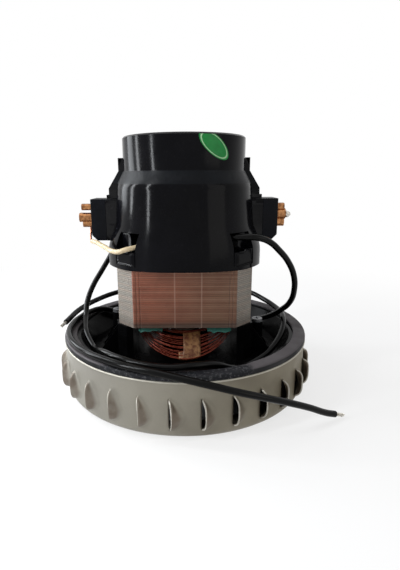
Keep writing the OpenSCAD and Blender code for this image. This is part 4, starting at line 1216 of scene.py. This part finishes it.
class MOTOR_OT_brush_gear(bpy.types.Operator):
    """Rolls the brass terminals, melts the solder and winds the brush springs."""

    bl_idname = "motor.brush_gear"
    bl_label = "Brush gear"

    def execute(self, context):
        for side, folds in FOLDS.items():
            bm = bmesh.new()
            box(bm, *PLATE)
            for fold in folds:
                rolled_fold(bm, *fold)
            if side == "left":
                half_turn(bm)
            bmesh.ops.recalc_face_normals(bm, faces=bm.faces)
            finish_piece(f"terminal_{side}", bm, "brass",
                         replaces=(f"brush_terminal_{side}",), sharp=35.0)
            self.spring(side)
        self.solder()
        return {"FINISHED"}

    def solder(self):
        """A lump of solder round the end of the right terminal's wire."""
        bm = bmesh.new()
        bmesh.ops.create_uvsphere(bm, u_segments=24, v_segments=16, radius=1.0)
        for vert in bm.verts:
            lump = 1 + 0.22 * noise.noise(vert.co * 2.3 + Vector((4, 1, 7)))
            narrow = SOLDER_R * (1 - 0.3 * max(0.0, vert.co.x))
            x, y, z = vert.co * lump
            vert.co = mm((SOLDER_X + SOLDER_LONG * x, narrow * y, BRUSH_Z + narrow * z))
        finish_piece("solder_lump", bm, "solder", replaces=("terminal_solder",),
                     sharp=80.0)

    def spring(self, side):
        """A coil spring behind one brush."""
        flip = 1 if side == "right" else -1
        count = SPRING_TURNS * SPRING_STEPS
        points = []
        for i in range(count + 1):
            angle = math.tau * i / SPRING_STEPS
            x = SPRING_START + (SPRING_END - SPRING_START) * i / count
            points.append(mm((x * flip, SPRING_R * math.cos(angle) * flip,
                              BRUSH_Z + SPRING_R * math.sin(angle))))
        mesh = wire_mesh(f"spring_{side}", points, mm(SPRING_WIRE_R))
        piece = dress(bpy.data.objects.new(f"spring_{side}", mesh), "spring",
                      replaces=(f"brush_spring_{side}",))
        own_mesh(piece)


# Label and inner pieces


class MOTOR_OT_label(bpy.types.Operator):
    """Cuts the oval label and lays it on the collar's curve."""

    bl_idname = "motor.label"
    bl_label = "Inspection label"

    def execute(self, context):
        bm = bmesh.new()
        bmesh.ops.create_circle(bm, cap_ends=True, cap_tris=True, segments=72, radius=1.0)
        bmesh.ops.subdivide_edges(bm, edges=[e for e in bm.edges if e.calc_length() > 0.5],
                                  cuts=14)
        rim = bm.verts.layers.float.new("rim")
        tilt = math.radians(LABEL_TILT)
        turn = math.radians(LABEL_TURN - 90)
        radius = COLLAR_R + LABEL_LIFT
        for vert in bm.verts:
            vert[rim] = float(LABEL_LINE[0] < vert.co.to_2d().length < LABEL_LINE[1])
            long, short = LABEL_LONG * vert.co.x, LABEL_SHORT * vert.co.y
            side = long * math.cos(tilt) - short * math.sin(tilt)
            height = min(long * math.sin(tilt) + short * math.cos(tilt) + LABEL_Z, LABEL_TOP)
            angle = turn + side / COLLAR_R
            vert.co = mm((radius * math.cos(angle), radius * math.sin(angle), height))
        bmesh.ops.recalc_face_normals(bm, faces=bm.faces)
        if sum(f.normal.y for f in bm.faces) > 0:
            bmesh.ops.reverse_faces(bm, faces=bm.faces)
        finish_piece("label", bm, "label", replaces=("inspection_label",),
                     sharp=80.0)
        return {"FINISHED"}


# Solids that are shown as they are, by finish
KEPT = {
    "zinc": ("bracket_screws",),
    "steel": ("rotor_shaft", "stator_bolts", "impeller_nut", "impeller_washer",
              "impeller_spacer", "lower_bearing_outer_ring", "lower_bearing_balls",
              "lower_bearing_inner_ring", "upper_bearing_outer_ring", "upper_bearing_balls",
              "upper_bearing_inner_ring"),
    "spring": ("wave_washer", "fan_clip"),
    "sheets": ("armature_core",),
    "winding": ("armature_winding",),
    "copper": ("commutator_bars",),
    "phenolic": ("commutator_hub",),
    "sleeve": ("lower_sleeve",),
    "brass": ("brush_tube_right", "brush_tube_left"),
    "carbon": ("carbon_brush_right", "carbon_brush_left"),
    "aluminium": ("impeller_back_disc", "impeller_vanes", "impeller_front_disc"),
}


class MOTOR_OT_inner_pieces(bpy.types.Operator):
    """Gives the pieces inside the unit their finishes and rounds the cooling fan."""

    bl_idname = "motor.inner_pieces"
    bl_label = "Inner pieces"

    def execute(self, context):
        for material, nodes in KEPT.items():
            for node in nodes:
                give_finish(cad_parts[node].data, material)
        softened_copy("cooling_fan", "fan_wheel", mm(FAN_EDGE), "holder",
                      "rotor")
        return {"FINISHED"}


# Stage


def area_light(name, place, aim_height, size, power, tint):
    """A soft rectangular lamp that points at the motor's axis."""
    data = bpy.data.lights.new(name, "AREA")
    data.shape = "RECTANGLE"
    data.size, data.size_y = size
    data.energy = power
    data.color = tint
    lamp = bpy.data.objects.new(name, data)
    lamp.location = place
    towards = Vector((0, 0, aim_height)) - Vector(place)
    lamp.rotation_euler = towards.to_track_quat("-Z", "Y").to_euler()
    bpy.context.scene.collection.objects.link(lamp)


def seen_directly(tree):
    """1 where the camera, a reflection or glass looks at the surface, and 0 for its light."""
    path = tree.nodes.new("ShaderNodeLightPath").outputs
    seen = maths(tree, "MAXIMUM", path["Is Camera Ray"], path["Is Glossy Ray"])
    return maths(tree, "MAXIMUM", seen, path["Is Transmission Ray"])


def mix_shaders(tree, share, first, second, output):
    """Sends the mix of two shaders to a named output node."""
    mix = tree.nodes.new("ShaderNodeMixShader")
    for value, socket in zip((share, first, second), mix.inputs):
        tree.links.new(value, socket)
    tree.links.new(mix.outputs[0], tree.nodes[output].inputs["Surface"])


class MOTOR_OT_stage(bpy.types.Operator):
    """Sets the camera, the pale floor, the lamps and the white surroundings."""

    bl_idname = "motor.stage"
    bl_label = "Stage"

    def execute(self, context):
        scene = context.scene
        lens = bpy.data.cameras.new("camera")
        lens.lens = FOCAL_PIXELS / PHOTO_HEIGHT * SENSOR
        lens.sensor_width = SENSOR
        lens.shift_x = (PHOTO_WIDTH / 2 - CENTRE_PIXEL) / PHOTO_HEIGHT
        lens.clip_start = 0.01
        camera = bpy.data.objects.new("camera", lens)
        camera.location = CAMERA_PLACE
        camera.rotation_euler = (math.radians(90 - CAMERA_DOWN), math.radians(CAMERA_ROLL), 0)
        scene.collection.objects.link(camera)
        scene.camera = camera
        scene.view_settings.view_transform = "Standard"
        self.floor()
        self.surroundings(scene)
        for lamp in LAMPS:
            area_light(*lamp)
        return {"FINISHED"}

    def floor(self):
        """A wide floor that is pale under the unit and fades to white."""
        bm = bmesh.new()
        bmesh.ops.create_grid(bm, x_segments=2, y_segments=2, size=4.0)
        mesh = bpy.data.meshes.new("floor")
        bm.to_mesh(mesh)
        bm.free()
        floor = bpy.data.objects.new("floor", mesh)
        floor.location = (0, 0, -0.0004)
        bpy.context.scene.collection.objects.link(floor)
        material, tree, shader, place = principled("pale_floor")
        shader.inputs["Base Color"].default_value = (0.9, 0.9, 0.9, 1)
        shader.inputs["Roughness"].default_value = 0.9
        far = tree.nodes.new("ShaderNodeVectorMath")
        far.operation = "LENGTH"
        tree.links.new(place, far.inputs[0])
        share = ramp(tree, far.outputs["Value"], 0.1, 0.4, 0.72, 1.0)
        white = tree.nodes.new("ShaderNodeEmission")
        mix_shaders(tree, times(tree, share, seen_directly(tree)), shader.outputs[0],
                    white.outputs[0], "Material Output")
        mesh.materials.append(material)

    def surroundings(self, scene):
        """Even light on the object, and white where the camera or a mirror looks past it."""
        world = bpy.data.worlds.new("surroundings")
        world.use_nodes = True
        tree = world.node_tree
        soft, white = tree.nodes["Background"], tree.nodes.new("ShaderNodeBackground")
        for node, strength in ((soft, WORLD_LIGHT), (white, 1.0)):
            node.inputs["Color"].default_value = (1, 1, 1, 1)
            node.inputs["Strength"].default_value = strength
        mix_shaders(tree, seen_directly(tree), soft.outputs[0], white.outputs[0], "World Output")
        scene.world = world


# Panel and registration


def size_property(label, default, low, high, text):
    """A length in metres that the user can change."""
    return FloatProperty(name=label, default=default, min=low, max=high, unit="LENGTH",
                         precision=5, description=text)


def colour_property(label, code, text):
    """A colour that the user can change, from a six-digit code."""
    return FloatVectorProperty(name=label, default=colour(code), size=3, min=0.0, max=1.0,
                               subtype="COLOR", description=text)


class MotorSizes(bpy.types.PropertyGroup):
    """Sizes of the fine detail."""

    edge_width: size_property("Edge rounding", 0.00045, 0.0001, 0.001,
                              "Width of the bevel on moulded edges")
    wire_diameter: size_property("Wire diameter", 0.0005, 0.0003, 0.0008,
                                 "Diameter of the field coils' wire")
    layer_gap: size_property("Layer gap", 0.0018, 0.0006, 0.002,
                             "Distance between the layers of a field coil")
    coil_turns: IntProperty(name="Coil turns", default=22, min=20, max=100,
                            description="Turns wound on each field coil")
    coil_layers: IntProperty(name="Coil layers", default=2, min=2, max=8,
                             description="Layers that the turns lie in")


class MotorColours(bpy.types.PropertyGroup):
    """Main colours of the unit."""

    housing: colour_property("Housing", "8b8473", "Coated sheet of the fan housing")
    cap: colour_property("Upper bracket", "040406", "Glossy moulding round the brushes")
    brass: colour_property("Terminals", "b98558", "Brass of the brush terminals and tubes")
    wire: colour_property("Coil wire", "6c2417", "Enamel on the field coils' wire")
    paper: colour_property("Slot paper", "42796f", "Insulating paper in the slots")
    label: colour_property("Label", "0d7431", "Oval inspection label")


OPERATORS = (
    MOTOR_OT_finishes, MOTOR_OT_stage, MOTOR_OT_leads, MOTOR_OT_inner_lead, MOTOR_OT_fan_housing,
    MOTOR_OT_seal_ring, MOTOR_OT_brackets, MOTOR_OT_stator, MOTOR_OT_coils,
    MOTOR_OT_brush_gear, MOTOR_OT_label, MOTOR_OT_inner_pieces,
)


class MOTOR_PT_panel(bpy.types.Panel):
    """Lists the sizes, the colours and the buttons that build each group of pieces."""

    bl_label = "Vacuum motor unit"
    bl_idname = "MOTOR_PT_panel"
    bl_space_type = "VIEW_3D"
    bl_region_type = "UI"
    bl_category = "Motor"

    def draw(self, context):
        scene = context.scene
        for group in (scene.motor_sizes, scene.motor_colours):
            for key in group.__annotations__:
                self.layout.prop(group, key)
        for operator in OPERATORS:
            self.layout.operator(operator.bl_idname)


CLASSES = (MotorSizes, MotorColours, *OPERATORS, MOTOR_PT_panel)


def register():
    """Adds the operators, the panel and the settings."""
    for cls in CLASSES:
        bpy.utils.register_class(cls)
    bpy.types.Scene.motor_sizes = PointerProperty(type=MotorSizes)
    bpy.types.Scene.motor_colours = PointerProperty(type=MotorColours)


def unregister():
    """Takes the settings, the panel and the operators away again."""
    del bpy.types.Scene.motor_sizes
    del bpy.types.Scene.motor_colours
    for cls in reversed(CLASSES):
        bpy.utils.unregister_class(cls)


def main():
    """Builds everything in order."""
    register()
    bpy.ops.motor.finishes()
    bpy.ops.motor.stage()
    bpy.ops.motor.leads()
    bpy.ops.motor.inner_lead()
    bpy.ops.motor.fan_housing()
    bpy.ops.motor.seal_ring()
    bpy.ops.motor.brackets()
    bpy.ops.motor.stator()
    bpy.ops.motor.coils()
    bpy.ops.motor.brush_gear()
    bpy.ops.motor.label()
    bpy.ops.motor.inner_pieces()


if __name__ == "__main__":
    main()
